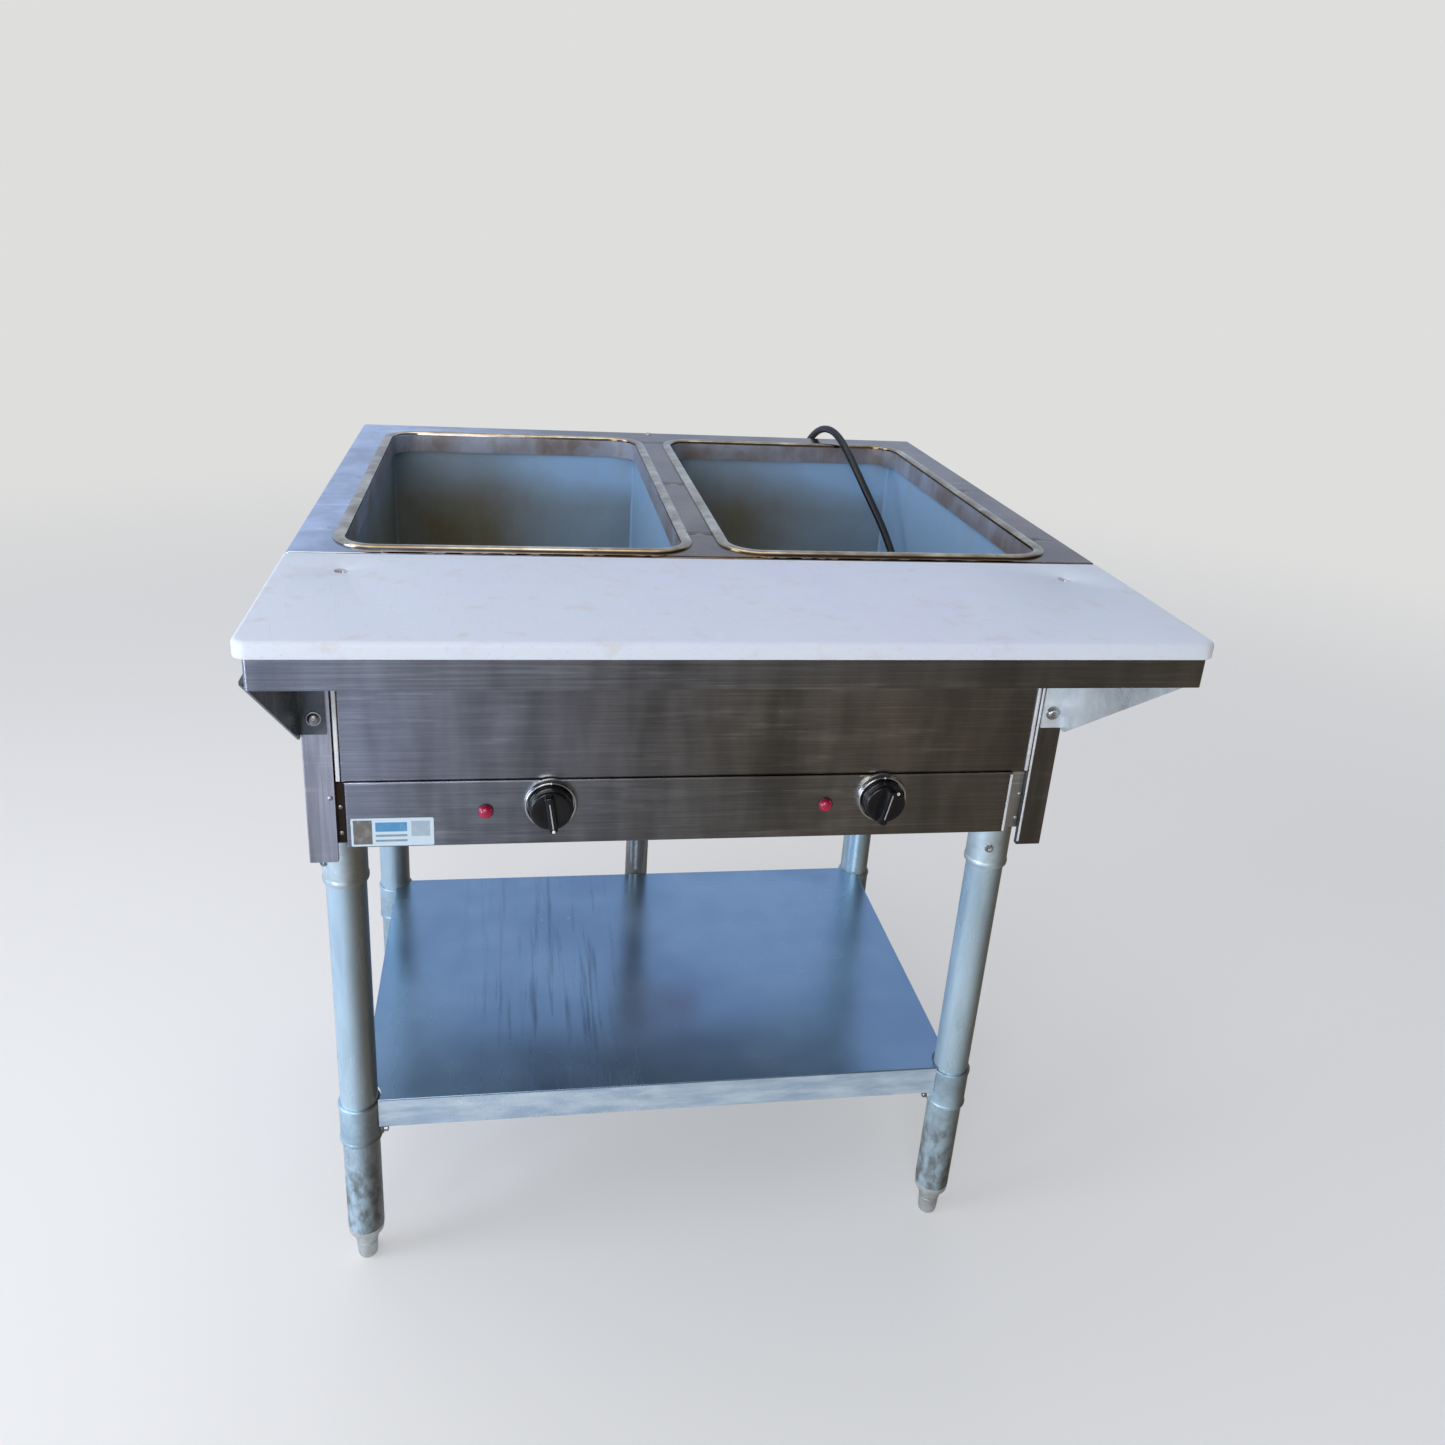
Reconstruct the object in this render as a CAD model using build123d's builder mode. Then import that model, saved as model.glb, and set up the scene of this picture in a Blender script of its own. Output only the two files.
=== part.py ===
from build123d import *
import math
import os

# Two-well electric steam table with a cutting board, an undershelf and a drain.
# Frame, in millimetres: X to the right, Y towards the back, +Z up.
# The origin is on the floor, under the middle of the table's outline.

# ---------------------------------------------------------------- driving sizes
TABLE_TOP = 896.0            # height of the deck and the cutting board
TABLE_FRONT = -403.0         # front edge of the cutting board
TABLE_BACK = 403.0           # back edge of the deck
DECK_HALF_WIDTH = 372.0
DECK_FRONT = -184.5          # joint between deck and cutting board

PAN_WIDTH = 305.0            # standard pan opening, 12 by 20 inches
PAN_LENGTH = 508.0
PAN_CORNER = 30.0
WELL_X = 175.5               # middle of each opening, left and right of centre
WELL_Y = 91.0
WELL_DEPTH = 206.0

LEG_RADIUS = 20.65           # 1 5/8 inch tube
LEG_X = 350.0
LEG_FRONT_Y = -103.0
LEG_BACK_Y = 348.0
FOOT_TRAVEL = 25.0

SHELF_TOP = 236.0
CONTROL_Z = 646.0            # height of the knobs' axes
KNOB_X = {"left": -143.0, "right": 189.0}
LIGHT_X = {"left": -205.0, "right": 132.0}

# ---------------------------------------------------------------- sheet and gaps
DECK_SHEET = 1.5
BODY_SHEET = 1.2
WELL_SHEET = 1.0
BRACKET_SHEET = 2.0
TURNING_GAP = 0.3            # between round faces of different bodies

# ---------------------------------------------------------------- worked out
DECK_LIP = 25.0
BEAD_WIDTH = 11.0
BEAD_HEIGHT = 3.0
SKIRT_DEPTH = 22.0
DECK_UNDERSIDE = TABLE_TOP - DECK_SHEET
WELL_FLOOR = TABLE_TOP - WELL_DEPTH
WELL_GAP = 2.5               # from the opening to the liner's inner face
SIDE_X = DECK_HALF_WIDTH - DECK_SHEET       # outer face of the side panels
BACK_Y = TABLE_BACK - DECK_SHEET            # rear face of the side panels
BODY_FRONT = -181.2
BODY_BOTTOM = 586.0
PAN_Z = 598.0                # underside of the bottom pan
FLANGE = 26.5                # width of the side panels' front and rear flanges
CONTROL_FACE = -180.5
CONTROL_TOP = 670.0
CONTROL_BOTTOM = 601.0
CONTROL_LEFT = -335.0
CONTROL_RIGHT = 328.0
SHAFT_RADIUS = 3.0

LEGS = {
    "front_left": (-LEG_X, LEG_FRONT_Y),
    "front_right": (LEG_X, LEG_FRONT_Y),
    "back_left": (-LEG_X, LEG_BACK_Y),
    "back_right": (LEG_X, LEG_BACK_Y),
}
SIDES = {"left": -1, "right": 1}
WELLS = [(side * WELL_X, WELL_Y) for side in SIDES.values()]


def save(piece, name):
    """Label a finished piece and write it as one STEP file."""
    piece.part.label = name
    export_step(piece.part, f"parts/{name}.step")


def block(low, high, mode=Mode.ADD):
    """A box between two corners, inside the current part."""
    middle = [(a + b) / 2 for a, b in zip(low, high)]
    with Locations(tuple(middle)):
        Box(*[b - a for a, b in zip(low, high)], mode=mode)


def facing_front(x, y, z):
    """A plane whose normal points out of the front of the table."""
    return Plane(origin=(x, y, z), x_dir=(1, 0, 0), z_dir=(0, -1, 0))


def turned(origin, outward, profile):
    """Revolve a profile of (radius, distance outwards) points about an axis."""
    outward = Vector(*outward)
    across = Vector(1, 0, 0) if abs(outward.Z) > 0.5 else Vector(0, 0, 1)
    plane = Plane(origin=origin, x_dir=across, z_dir=across.cross(outward))
    with BuildSketch(plane) as outline:
        with BuildLine():
            Polyline(*profile, close=True)
        make_face()
    revolve(outline.sketch, axis=Axis(origin, outward))


def dome_head(origin, outward, radius, height):
    """A low domed screw or rivet head, flat face down on its seat."""
    turned(origin, outward, [(0, 0), (radius, 0), (radius * 0.94, height * 0.45),
                             (radius * 0.66, height * 0.85), (0, height)])


os.makedirs("parts", exist_ok=True)

# ---------------------------------------------------------------- deck
# One stainless sheet with its edges turned down, a raised bead round each
# opening, and a skirt turned down inside it.
deck_length = TABLE_BACK - DECK_FRONT
deck_middle = (TABLE_BACK + DECK_FRONT) / 2
with BuildPart() as deck_top:
    block((-DECK_HALF_WIDTH, DECK_FRONT, TABLE_TOP - DECK_LIP),
          (DECK_HALF_WIDTH, TABLE_BACK, TABLE_TOP))
    fillet(deck_top.edges().filter_by(Axis.Z), 3)
    fillet(deck_top.faces().sort_by(Axis.Z)[-1].edges(), 2)
    block((-SIDE_X, DECK_FRONT + DECK_SHEET, TABLE_TOP - DECK_LIP - 1),
          (SIDE_X, BACK_Y, DECK_UNDERSIDE), Mode.SUBTRACT)
    with BuildSketch(Plane.XY.offset(TABLE_TOP - 0.5)):
        with Locations(*WELLS):
            RectangleRounded(PAN_WIDTH + 2 * BEAD_WIDTH, PAN_LENGTH + 2 * BEAD_WIDTH,
                             PAN_CORNER + BEAD_WIDTH)
    extrude(amount=BEAD_HEIGHT + 0.5)
    fillet(deck_top.faces().sort_by(Axis.Z)[-2:].edges(), 2.4)
    with BuildSketch(Plane.XY.offset(TABLE_TOP - SKIRT_DEPTH)):
        with Locations(*WELLS):
            RectangleRounded(PAN_WIDTH + 2 * DECK_SHEET, PAN_LENGTH + 2 * DECK_SHEET,
                             PAN_CORNER + DECK_SHEET)
    extrude(amount=SKIRT_DEPTH)
    with BuildSketch(Plane.XY.offset(TABLE_TOP - SKIRT_DEPTH - 1)):
        with Locations(*WELLS):
            RectangleRounded(PAN_WIDTH, PAN_LENGTH, PAN_CORNER)
    extrude(amount=SKIRT_DEPTH + BEAD_HEIGHT + 2, mode=Mode.SUBTRACT)
    bead_tops = deck_top.faces().sort_by(Axis.Z)[-2:]
    fillet([edge for face in bead_tops for edge in face.inner_wires()[0].edges()], 2.4)
save(deck_top, "deck_top")

# ---------------------------------------------------------------- wells
# Each liner is a folded and welded box, hung by its flange from the deck.
liner_width = PAN_WIDTH + 2 * WELL_GAP
liner_length = PAN_LENGTH + 2 * WELL_GAP
DRAIN_Y = 280.0
DRAIN_RADIUS = 14.0
for side, sign in SIDES.items():
    middle_x = sign * WELL_X
    with BuildPart() as well:
        with BuildSketch(Plane.XY.offset(WELL_FLOOR - WELL_SHEET)):
            with Locations((middle_x, WELL_Y)):
                RectangleRounded(liner_width + 2 * WELL_SHEET, liner_length + 2 * WELL_SHEET, 4)
        extrude(amount=DECK_UNDERSIDE - WELL_FLOOR + WELL_SHEET)
        with BuildSketch(Plane.XY.offset(DECK_UNDERSIDE - WELL_SHEET)):
            with Locations((middle_x, WELL_Y)):
                RectangleRounded(liner_width + 14, liner_length + 14, 6)
        extrude(amount=WELL_SHEET)
        with BuildSketch(Plane.XY.offset(WELL_FLOOR)):
            with Locations((middle_x, WELL_Y)):
                RectangleRounded(liner_width, liner_length, 3)
        extrude(amount=DECK_UNDERSIDE - WELL_FLOOR + 1, mode=Mode.SUBTRACT)
        with Locations((middle_x, DRAIN_Y, WELL_FLOOR - WELL_SHEET / 2)):
            Cylinder(DRAIN_RADIUS, 2 * WELL_SHEET, mode=Mode.SUBTRACT)
    save(well, f"well_{side}")

# Sheathed heating element under each floor, one open loop of bent tube.
ELEMENT_RADIUS = 4.0
ELEMENT_Z = WELL_FLOOR - WELL_SHEET - ELEMENT_RADIUS - 0.2
TERMINAL_Y = -132.0
for side, sign in SIDES.items():
    loop = [(15, TERMINAL_Y), (15, -92), (112, -92), (112, 232), (48, 232), (48, -25)]
    outline = [(sign * WELL_X + x, y, ELEMENT_Z) for x, y in loop]
    outline += [(sign * WELL_X - x, y, ELEMENT_Z) for x, y in reversed(loop)]
    with BuildPart() as element:
        with BuildLine():
            path = FilletPolyline(*outline, radius=18)
        with BuildSketch(Plane(origin=path @ 0, z_dir=path % 0)):
            Circle(ELEMENT_RADIUS)
        sweep()
    save(element, f"heating_element_{side}")

# Two flat bars press each element up against its floor, on welded studs.
CLAMP_THICKNESS = 2.0
clamp_top = ELEMENT_Z - ELEMENT_RADIUS
with BuildPart() as element_clamps:
    for middle_x, _ in WELLS:
        for bar_y in (20, 170):
            block((middle_x - 125, bar_y - 10, clamp_top - CLAMP_THICKNESS),
                  (middle_x + 125, bar_y + 10, clamp_top))
            stud_top, stud_bottom = WELL_FLOOR - WELL_SHEET, clamp_top - 8
            with Locations((middle_x - 80, bar_y, (stud_top + stud_bottom) / 2),
                           (middle_x + 80, bar_y, (stud_top + stud_bottom) / 2)):
                Cylinder(2.5, stud_top - stud_bottom)
save(element_clamps, "element_clamps")

# Fibre slabs round the wells and under the elements.
slab_top = DECK_UNDERSIDE - 10
slab_bottom = WELL_FLOOR + 2
with BuildPart() as well_insulation:
    for sign in SIDES.values():
        inner, outer = sign * (WELL_X + liner_width / 2 + 2), sign * (SIDE_X - 8)
        block((min(inner, outer), -160, slab_bottom), (max(inner, outer), 345, slab_top))
    block((-17, -160, slab_bottom), (17, 345, slab_top))
    block((-330, 352, slab_bottom), (330, 388, slab_top))
    block((-330, -60, 652), (330, 255, 672))
save(well_insulation, "well_insulation")

# ---------------------------------------------------------------- body panels
for side, sign in SIDES.items():
    with BuildPart() as side_panel:
        outer, inner = sign * SIDE_X, sign * (SIDE_X - BODY_SHEET)
        flange = sign * (SIDE_X - FLANGE)
        block((min(outer, inner), BODY_FRONT, BODY_BOTTOM),
              (max(outer, inner), BACK_Y, DECK_UNDERSIDE))
        for y in (BODY_FRONT, BACK_Y - BODY_SHEET):
            block((min(outer, flange), y, BODY_BOTTOM),
                  (max(outer, flange), y + BODY_SHEET, DECK_UNDERSIDE - 2))
        block((min(flange, flange + sign * BODY_SHEET), BODY_FRONT, BODY_BOTTOM),
              (max(flange, flange + sign * BODY_SHEET), BODY_FRONT + 6, DECK_UNDERSIDE - 20))
        outside = side_panel.edges().filter_by(Axis.Z).sort_by(Axis.X)
        fillet(outside[:2] if sign < 0 else outside[-2:], 1.1)
    save(side_panel, f"side_panel_{side}")

# Upper front panel, a shallow tray set just behind the side flanges.
FRONT_FACE = -178.0
FRONT_LEFT = -338.0
FRONT_RIGHT = 340.0
RETURN = 9.0
with BuildPart() as front_panel:
    front_top = DECK_UNDERSIDE - 2
    block((FRONT_LEFT, FRONT_FACE, CONTROL_TOP), (FRONT_RIGHT, FRONT_FACE + RETURN, front_top))
    fillet(front_panel.faces().sort_by(Axis.Y)[0].edges(), 1.1)
    block((FRONT_LEFT + BODY_SHEET, FRONT_FACE + BODY_SHEET, CONTROL_TOP + BODY_SHEET),
          (FRONT_RIGHT - BODY_SHEET, FRONT_FACE + RETURN + 1, front_top + 1), Mode.SUBTRACT)
save(front_panel, "front_panel")

# Control panel with holes for the switch bushings and the pilot lights.
BUSHING_RADIUS = 5.0
LAMP_RADIUS = 6.2
CONTROL_RETURN = 12.0
LIGHT_Z = CONTROL_Z - 8
with BuildPart() as control_panel:
    block((CONTROL_LEFT, CONTROL_FACE, CONTROL_BOTTOM),
          (CONTROL_RIGHT, CONTROL_FACE + CONTROL_RETURN, CONTROL_TOP - 0.4))
    fillet(control_panel.faces().sort_by(Axis.Y)[0].edges(), 1.1)
    block((CONTROL_LEFT + BODY_SHEET, CONTROL_FACE + BODY_SHEET, CONTROL_BOTTOM + BODY_SHEET),
          (CONTROL_RIGHT - BODY_SHEET, CONTROL_FACE + CONTROL_RETURN + 1,
           CONTROL_TOP - 0.4 - BODY_SHEET), Mode.SUBTRACT)
    with Locations(*[facing_front(x, CONTROL_FACE, CONTROL_Z) for x in KNOB_X.values()]):
        Cylinder(BUSHING_RADIUS + 0.1, 10, mode=Mode.SUBTRACT)
    with Locations(*[facing_front(x, CONTROL_FACE, LIGHT_Z) for x in LIGHT_X.values()]):
        Cylinder(LAMP_RADIUS + 0.1, 10, mode=Mode.SUBTRACT)
save(control_panel, "control_panel")

# Back panel inside the rear flanges, with the hole for the cord's strain relief.
CORD_X = 215.0
CORD_EXIT_Z = 640.0
PANEL_BACK = BACK_Y - BODY_SHEET
with BuildPart() as back_panel:
    block((-SIDE_X + BODY_SHEET, PANEL_BACK - BODY_SHEET, BODY_BOTTOM + 1),
          (SIDE_X - BODY_SHEET, PANEL_BACK, DECK_UNDERSIDE))
    with Locations(Plane(origin=(CORD_X, PANEL_BACK, CORD_EXIT_Z), z_dir=(0, 1, 0))):
        Cylinder(9, 10, mode=Mode.SUBTRACT)
save(back_panel, "back_panel")

# Domed screws down both rear flanges.
with BuildPart() as back_panel_screws:
    for sign in SIDES.values():
        for z in (610, 740, 858):
            dome_head((sign * (SIDE_X - 13), BACK_Y, z), (0, 1, 0), 5, 1.5)
save(back_panel_screws, "back_panel_screws")

# Bottom pan, closing the body, with its side edges turned up.
with BuildPart() as bottom_pan:
    pan_x = SIDE_X - BODY_SHEET
    block((-pan_x, -165, PAN_Z), (pan_x, PANEL_BACK - BODY_SHEET, PAN_Z + BODY_SHEET))
    for sign in SIDES.values():
        edge, inside = sign * pan_x, sign * (pan_x - BODY_SHEET)
        block((min(edge, inside), -165, PAN_Z), (max(edge, inside), 395, PAN_Z + 14))
    with Locations(*[(middle_x, DRAIN_Y, PAN_Z) for middle_x, _ in WELLS]):
        Cylinder(DRAIN_RADIUS + 2, 10, mode=Mode.SUBTRACT)
save(bottom_pan, "bottom_pan")

# Brackets that hold the ends of the control panel, seen in the gaps beside it.
BRACKET_FACE = -174.0
with BuildPart() as panel_end_brackets:
    for sign in SIDES.values():
        near = (CONTROL_LEFT if sign < 0 else CONTROL_RIGHT) + sign * 0.2
        far = sign * (SIDE_X - BODY_SHEET)
        block((min(near, far), BRACKET_FACE, 603), (max(near, far), BRACKET_FACE + BODY_SHEET, 668))
        block((min(far, far - sign * BODY_SHEET), BRACKET_FACE, 603),
              (max(far, far - sign * BODY_SHEET), BRACKET_FACE + 9, 668))
save(panel_end_brackets, "panel_end_brackets")

# Blind rivets: two at each end bracket, one on the left flange, and one on the
# deck by its rear edge.
with BuildPart() as panel_rivets:
    for x in (-340.6, 342.0):
        for z in (614, 642):
            dome_head((x, BRACKET_FACE, z), (0, -1, 0), 2.6, 1.4)
    dome_head((-348, BODY_FRONT, 655), (0, -1, 0), 2.6, 1.4)
    dome_head((2, 394, TABLE_TOP), (0, 0, 1), 5, 1.8)
save(panel_rivets, "panel_rivets")

# ---------------------------------------------------------------- cutting board
# Inverted sheet tray that carries the board, with its apron to the front.
BOARD_THICKNESS = 13.4
TRAY_TOP = TABLE_TOP - BOARD_THICKNESS
TRAY_HALF_WIDTH = 365.5
TRAY_DEPTH = 24.0
SCREW_X = 318.0
SCREW_Y = -236.0
with BuildPart() as board_shelf:
    block((-TRAY_HALF_WIDTH, TABLE_FRONT + 1.4, TRAY_TOP - TRAY_DEPTH),
          (TRAY_HALF_WIDTH, DECK_FRONT, TRAY_TOP))
    fillet(board_shelf.edges().filter_by(Axis.Z).sort_by(Axis.Y)[:2], 3)
    block((-TRAY_HALF_WIDTH + BODY_SHEET, TABLE_FRONT + 1.4 + BODY_SHEET, TRAY_TOP - TRAY_DEPTH - 1),
          (TRAY_HALF_WIDTH - BODY_SHEET, DECK_FRONT - BODY_SHEET, TRAY_TOP - BODY_SHEET),
          Mode.SUBTRACT)
    with Locations((-SCREW_X, SCREW_Y, TRAY_TOP), (SCREW_X, SCREW_Y, TRAY_TOP)):
        Cylinder(3, 5, mode=Mode.SUBTRACT)
save(board_shelf, "board_shelf")

# Polyethylene board, flush with the deck, on two recessed screws.
BOARD_HALF_WIDTH = 373.5
RECESS_RADIUS = 6.5
RECESS_DEPTH = 4.0
with BuildPart() as cutting_board:
    block((-BOARD_HALF_WIDTH, TABLE_FRONT, TRAY_TOP), (BOARD_HALF_WIDTH, DECK_FRONT - 0.3, TABLE_TOP))
    fillet(cutting_board.edges().filter_by(Axis.Z).sort_by(Axis.Y)[:2], 12)
    fillet(cutting_board.faces().sort_by(Axis.Z)[-1].edges(), 2.5)
    with Locations((-SCREW_X, SCREW_Y, TABLE_TOP), (SCREW_X, SCREW_Y, TABLE_TOP)):
        CounterBoreHole(3, RECESS_RADIUS, RECESS_DEPTH)
save(cutting_board, "cutting_board")

with BuildPart() as board_screws:
    seat = TABLE_TOP - RECESS_DEPTH
    for sign in SIDES.values():
        dome_head((sign * SCREW_X, SCREW_Y, seat), (0, 0, 1), 5.6, 2.6)
        with Locations((sign * SCREW_X, SCREW_Y, (seat + TRAY_TOP - 8) / 2)):
            Cylinder(2.9, seat - TRAY_TOP + 8)
save(board_screws, "board_screws")

# Gusset brackets: a triangular web outside each body side, a flange bolted to
# the body's front, and a flange on which the tray lies.
BRACKET_TIP_Z = 719.0
BRACKET_FRONT_Y = -384.0
BRACKET_FLANGE = 25.0
BRACKET_BOLTS_Z = (738.0, 826.0)
bracket_top = TRAY_TOP - TRAY_DEPTH
flange_front = BODY_FRONT - BRACKET_SHEET
for side, sign in SIDES.items():
    web_inner = sign * SIDE_X
    with BuildPart() as shelf_bracket:
        with BuildSketch(Plane(origin=(web_inner, 0, 0), x_dir=(0, 1, 0), z_dir=(1, 0, 0))):
            with BuildLine():
                Polyline((BODY_FRONT, BRACKET_TIP_Z), (BODY_FRONT, bracket_top),
                         (BRACKET_FRONT_Y, bracket_top), (BRACKET_FRONT_Y, bracket_top - 3),
                         (flange_front - 4, BRACKET_TIP_Z), close=True)
            make_face()
        extrude(amount=sign * BRACKET_SHEET)
        outer, inner = sign * (SIDE_X + BRACKET_SHEET), sign * (SIDE_X + BRACKET_SHEET - BRACKET_FLANGE)
        low, high = min(outer, inner), max(outer, inner)
        block((low, flange_front, BRACKET_TIP_Z + 3), (high, BODY_FRONT, bracket_top))
        block((low, BRACKET_FRONT_Y, bracket_top - BRACKET_SHEET), (high, BODY_FRONT, bracket_top))
    save(shelf_bracket, f"shelf_bracket_{side}")

with BuildPart() as bracket_bolts:
    for sign in SIDES.values():
        for z in BRACKET_BOLTS_Z:
            dome_head((sign * 358, flange_front, z), (0, -1, 0), 6, 3.6)
save(bracket_bolts, "bracket_bolts")

# ---------------------------------------------------------------- legs and feet
# Sockets under the body: the sleeve fits the leg, and above it a solid neck
# reaches the bottom pan, cut back where it passes the side panel.
SOCKET_BOTTOM = 520.0
SOCKET_RADIUS = 23.8
SOCKET_ROOF = 584.0
SET_SCREW_Z = 548.0
SET_SCREW_RADIUS = 4.5
SCREW_TURN = {                # direction each set screw faces, seen from above
    "front_left": 217,
    "front_right": 250,
    "back_left": 143,
    "back_right": 37,
}
with BuildPart() as leg_sockets:
    for name, (x, y) in LEGS.items():
        with Locations((x, y, (SOCKET_BOTTOM + PAN_Z) / 2)):
            Cylinder(SOCKET_RADIUS, PAN_Z - SOCKET_BOTTOM)
        with Locations((x, y, (SOCKET_BOTTOM + SOCKET_ROOF) / 2)):
            Cylinder(LEG_RADIUS + 0.05, SOCKET_ROOF - SOCKET_BOTTOM, mode=Mode.SUBTRACT)
        side_face = SIDE_X - BODY_SHEET - 0.2
        low, high = (side_face, side_face + 20) if x > 0 else (-side_face - 20, -side_face)
        block((low, y - 30, BODY_BOTTOM - 0.4), (high, y + 30, PAN_Z + 1), Mode.SUBTRACT)
        with Locations(Location((x, y, SET_SCREW_Z), (0, 0, SCREW_TURN[name]))):
            with Locations(Location((SOCKET_RADIUS, 0, 0), (0, 90, 0))):
                Cylinder(SET_SCREW_RADIUS + 0.05, 10, mode=Mode.SUBTRACT)
save(leg_sockets, "leg_sockets")

# One socket-head screw through each sleeve pinches its leg.
with BuildPart() as socket_set_screws:
    for name, (x, y) in LEGS.items():
        angle = math.radians(SCREW_TURN[name])
        outward = Vector(math.cos(angle), math.sin(angle), 0)
        start = Vector(x, y, SET_SCREW_Z) + outward * (LEG_RADIUS + 0.1)
        turned(start, outward, [(0, 0), (SET_SCREW_RADIUS, 0), (SET_SCREW_RADIUS, 5), (4, 5.6),
                                (2.4, 5.6), (2.4, 3), (0, 3)])
save(socket_set_screws, "socket_set_screws")

LEG_BOTTOM = 49.0
LEG_WALL = 1.5
INSERT_DEPTH = 40.0
STEM_RADIUS = 6.0
FOOT_TOP = 40.0
for name, (x, y) in LEGS.items():
    with BuildPart() as leg:
        with BuildSketch(Plane.XY.offset(LEG_BOTTOM)):
            with Locations((x, y)):
                Circle(LEG_RADIUS)
                Circle(LEG_RADIUS - LEG_WALL, mode=Mode.SUBTRACT)
        extrude(amount=SOCKET_ROOF - 0.5 - LEG_BOTTOM)
    save(leg, f"leg_{name}")

# Threaded plugs pressed into the legs' lower ends.
with BuildPart() as leg_inserts:
    for x, y in LEGS.values():
        turned((x, y, FOOT_TOP), (0, 0, 1), [
            (STEM_RADIUS + 0.06, 0), (LEG_RADIUS - 2.6, 0), (LEG_RADIUS - 0.4, 1.4),
            (LEG_RADIUS - 0.4, LEG_BOTTOM - FOOT_TOP), (LEG_RADIUS - LEG_WALL, LEG_BOTTOM - FOOT_TOP),
            (LEG_RADIUS - LEG_WALL, INSERT_DEPTH), (STEM_RADIUS + 0.06, INSERT_DEPTH)])
save(leg_inserts, "leg_inserts")

# Bullet feet, each on a threaded stem that winds down out of its insert.
for name, (x, y) in LEGS.items():
    with BuildPart() as foot:
        turned((x, y, 0), (0, 0, 1), [
            (0, 0), (8.5, 0), (10.4, 1.4), (11.2, 4.5), (12.2, 24), (13.2, 26.5), (13.2, 38),
            (12, FOOT_TOP), (STEM_RADIUS, FOOT_TOP), (STEM_RADIUS, FOOT_TOP + INSERT_DEPTH + 2),
            (0, FOOT_TOP + INSERT_DEPTH + 4)])
    save(foot, f"foot_{name}")

# ---------------------------------------------------------------- undershelf
SHELF_HALF_WIDTH = 348.0
SHELF_FRONT = -113.0
SHELF_BACK = 344.0
SHELF_EDGE = 38.0
SHELF_HEM = 10.0
COLLAR_INNER = LEG_RADIUS + TURNING_GAP
COLLAR_OUTER = 23.6
COLLAR_BOTTOM = 179.0
COLLAR_TOP = SHELF_TOP - 5
with BuildPart() as undershelf:
    block((-SHELF_HALF_WIDTH, SHELF_FRONT, SHELF_TOP - SHELF_EDGE), (SHELF_HALF_WIDTH, SHELF_BACK, SHELF_TOP))
    fillet(undershelf.faces().sort_by(Axis.Z)[-1].edges(), 1.1)
    block((-SHELF_HALF_WIDTH + BODY_SHEET, SHELF_FRONT + BODY_SHEET, SHELF_TOP - SHELF_EDGE + BODY_SHEET),
          (SHELF_HALF_WIDTH - BODY_SHEET, SHELF_BACK - BODY_SHEET, SHELF_TOP - BODY_SHEET), Mode.SUBTRACT)
    block((-SHELF_HALF_WIDTH + SHELF_HEM, SHELF_FRONT + SHELF_HEM, SHELF_TOP - SHELF_EDGE - 1),
          (SHELF_HALF_WIDTH - SHELF_HEM, SHELF_BACK - SHELF_HEM, SHELF_TOP - SHELF_EDGE + 2), Mode.SUBTRACT)
    for x, y in LEGS.values():
        with Locations((x, y, SHELF_TOP - SHELF_EDGE / 2)):
            Cylinder(COLLAR_OUTER, SHELF_EDGE + 4, mode=Mode.SUBTRACT)
save(undershelf, "undershelf")

# Sleeves round the legs at the corners of the shelf, taller than its edge and lower than its top.
with BuildPart() as shelf_collars:
    for x, y in LEGS.values():
        turned((x, y, COLLAR_BOTTOM), (0, 0, 1), [
            (COLLAR_INNER, 0), (COLLAR_OUTER, 0), (COLLAR_OUTER, COLLAR_TOP - COLLAR_BOTTOM),
            (COLLAR_INNER, COLLAR_TOP - COLLAR_BOTTOM)])
        inward = -1 if x > 0 else 1
        start = (x + inward * (COLLAR_OUTER - 0.4), y, COLLAR_BOTTOM + 8)
        turned(start, (inward, 0, 0), [(0, 0), (6, 0), (6, 2.4), (0, 2.4)])
save(shelf_collars, "shelf_collars")

with BuildPart() as shelf_set_screws:
    for x, y in LEGS.values():
        inward = -1 if x > 0 else 1
        start = (x + inward * (COLLAR_OUTER + 2), y, COLLAR_BOTTOM + 8)
        turned(start, (inward, 0, 0), [(0, 0), (4, 0), (4, 4), (3.2, 5), (2, 5), (2, 3), (0, 3)])
save(shelf_set_screws, "shelf_set_screws")

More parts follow.
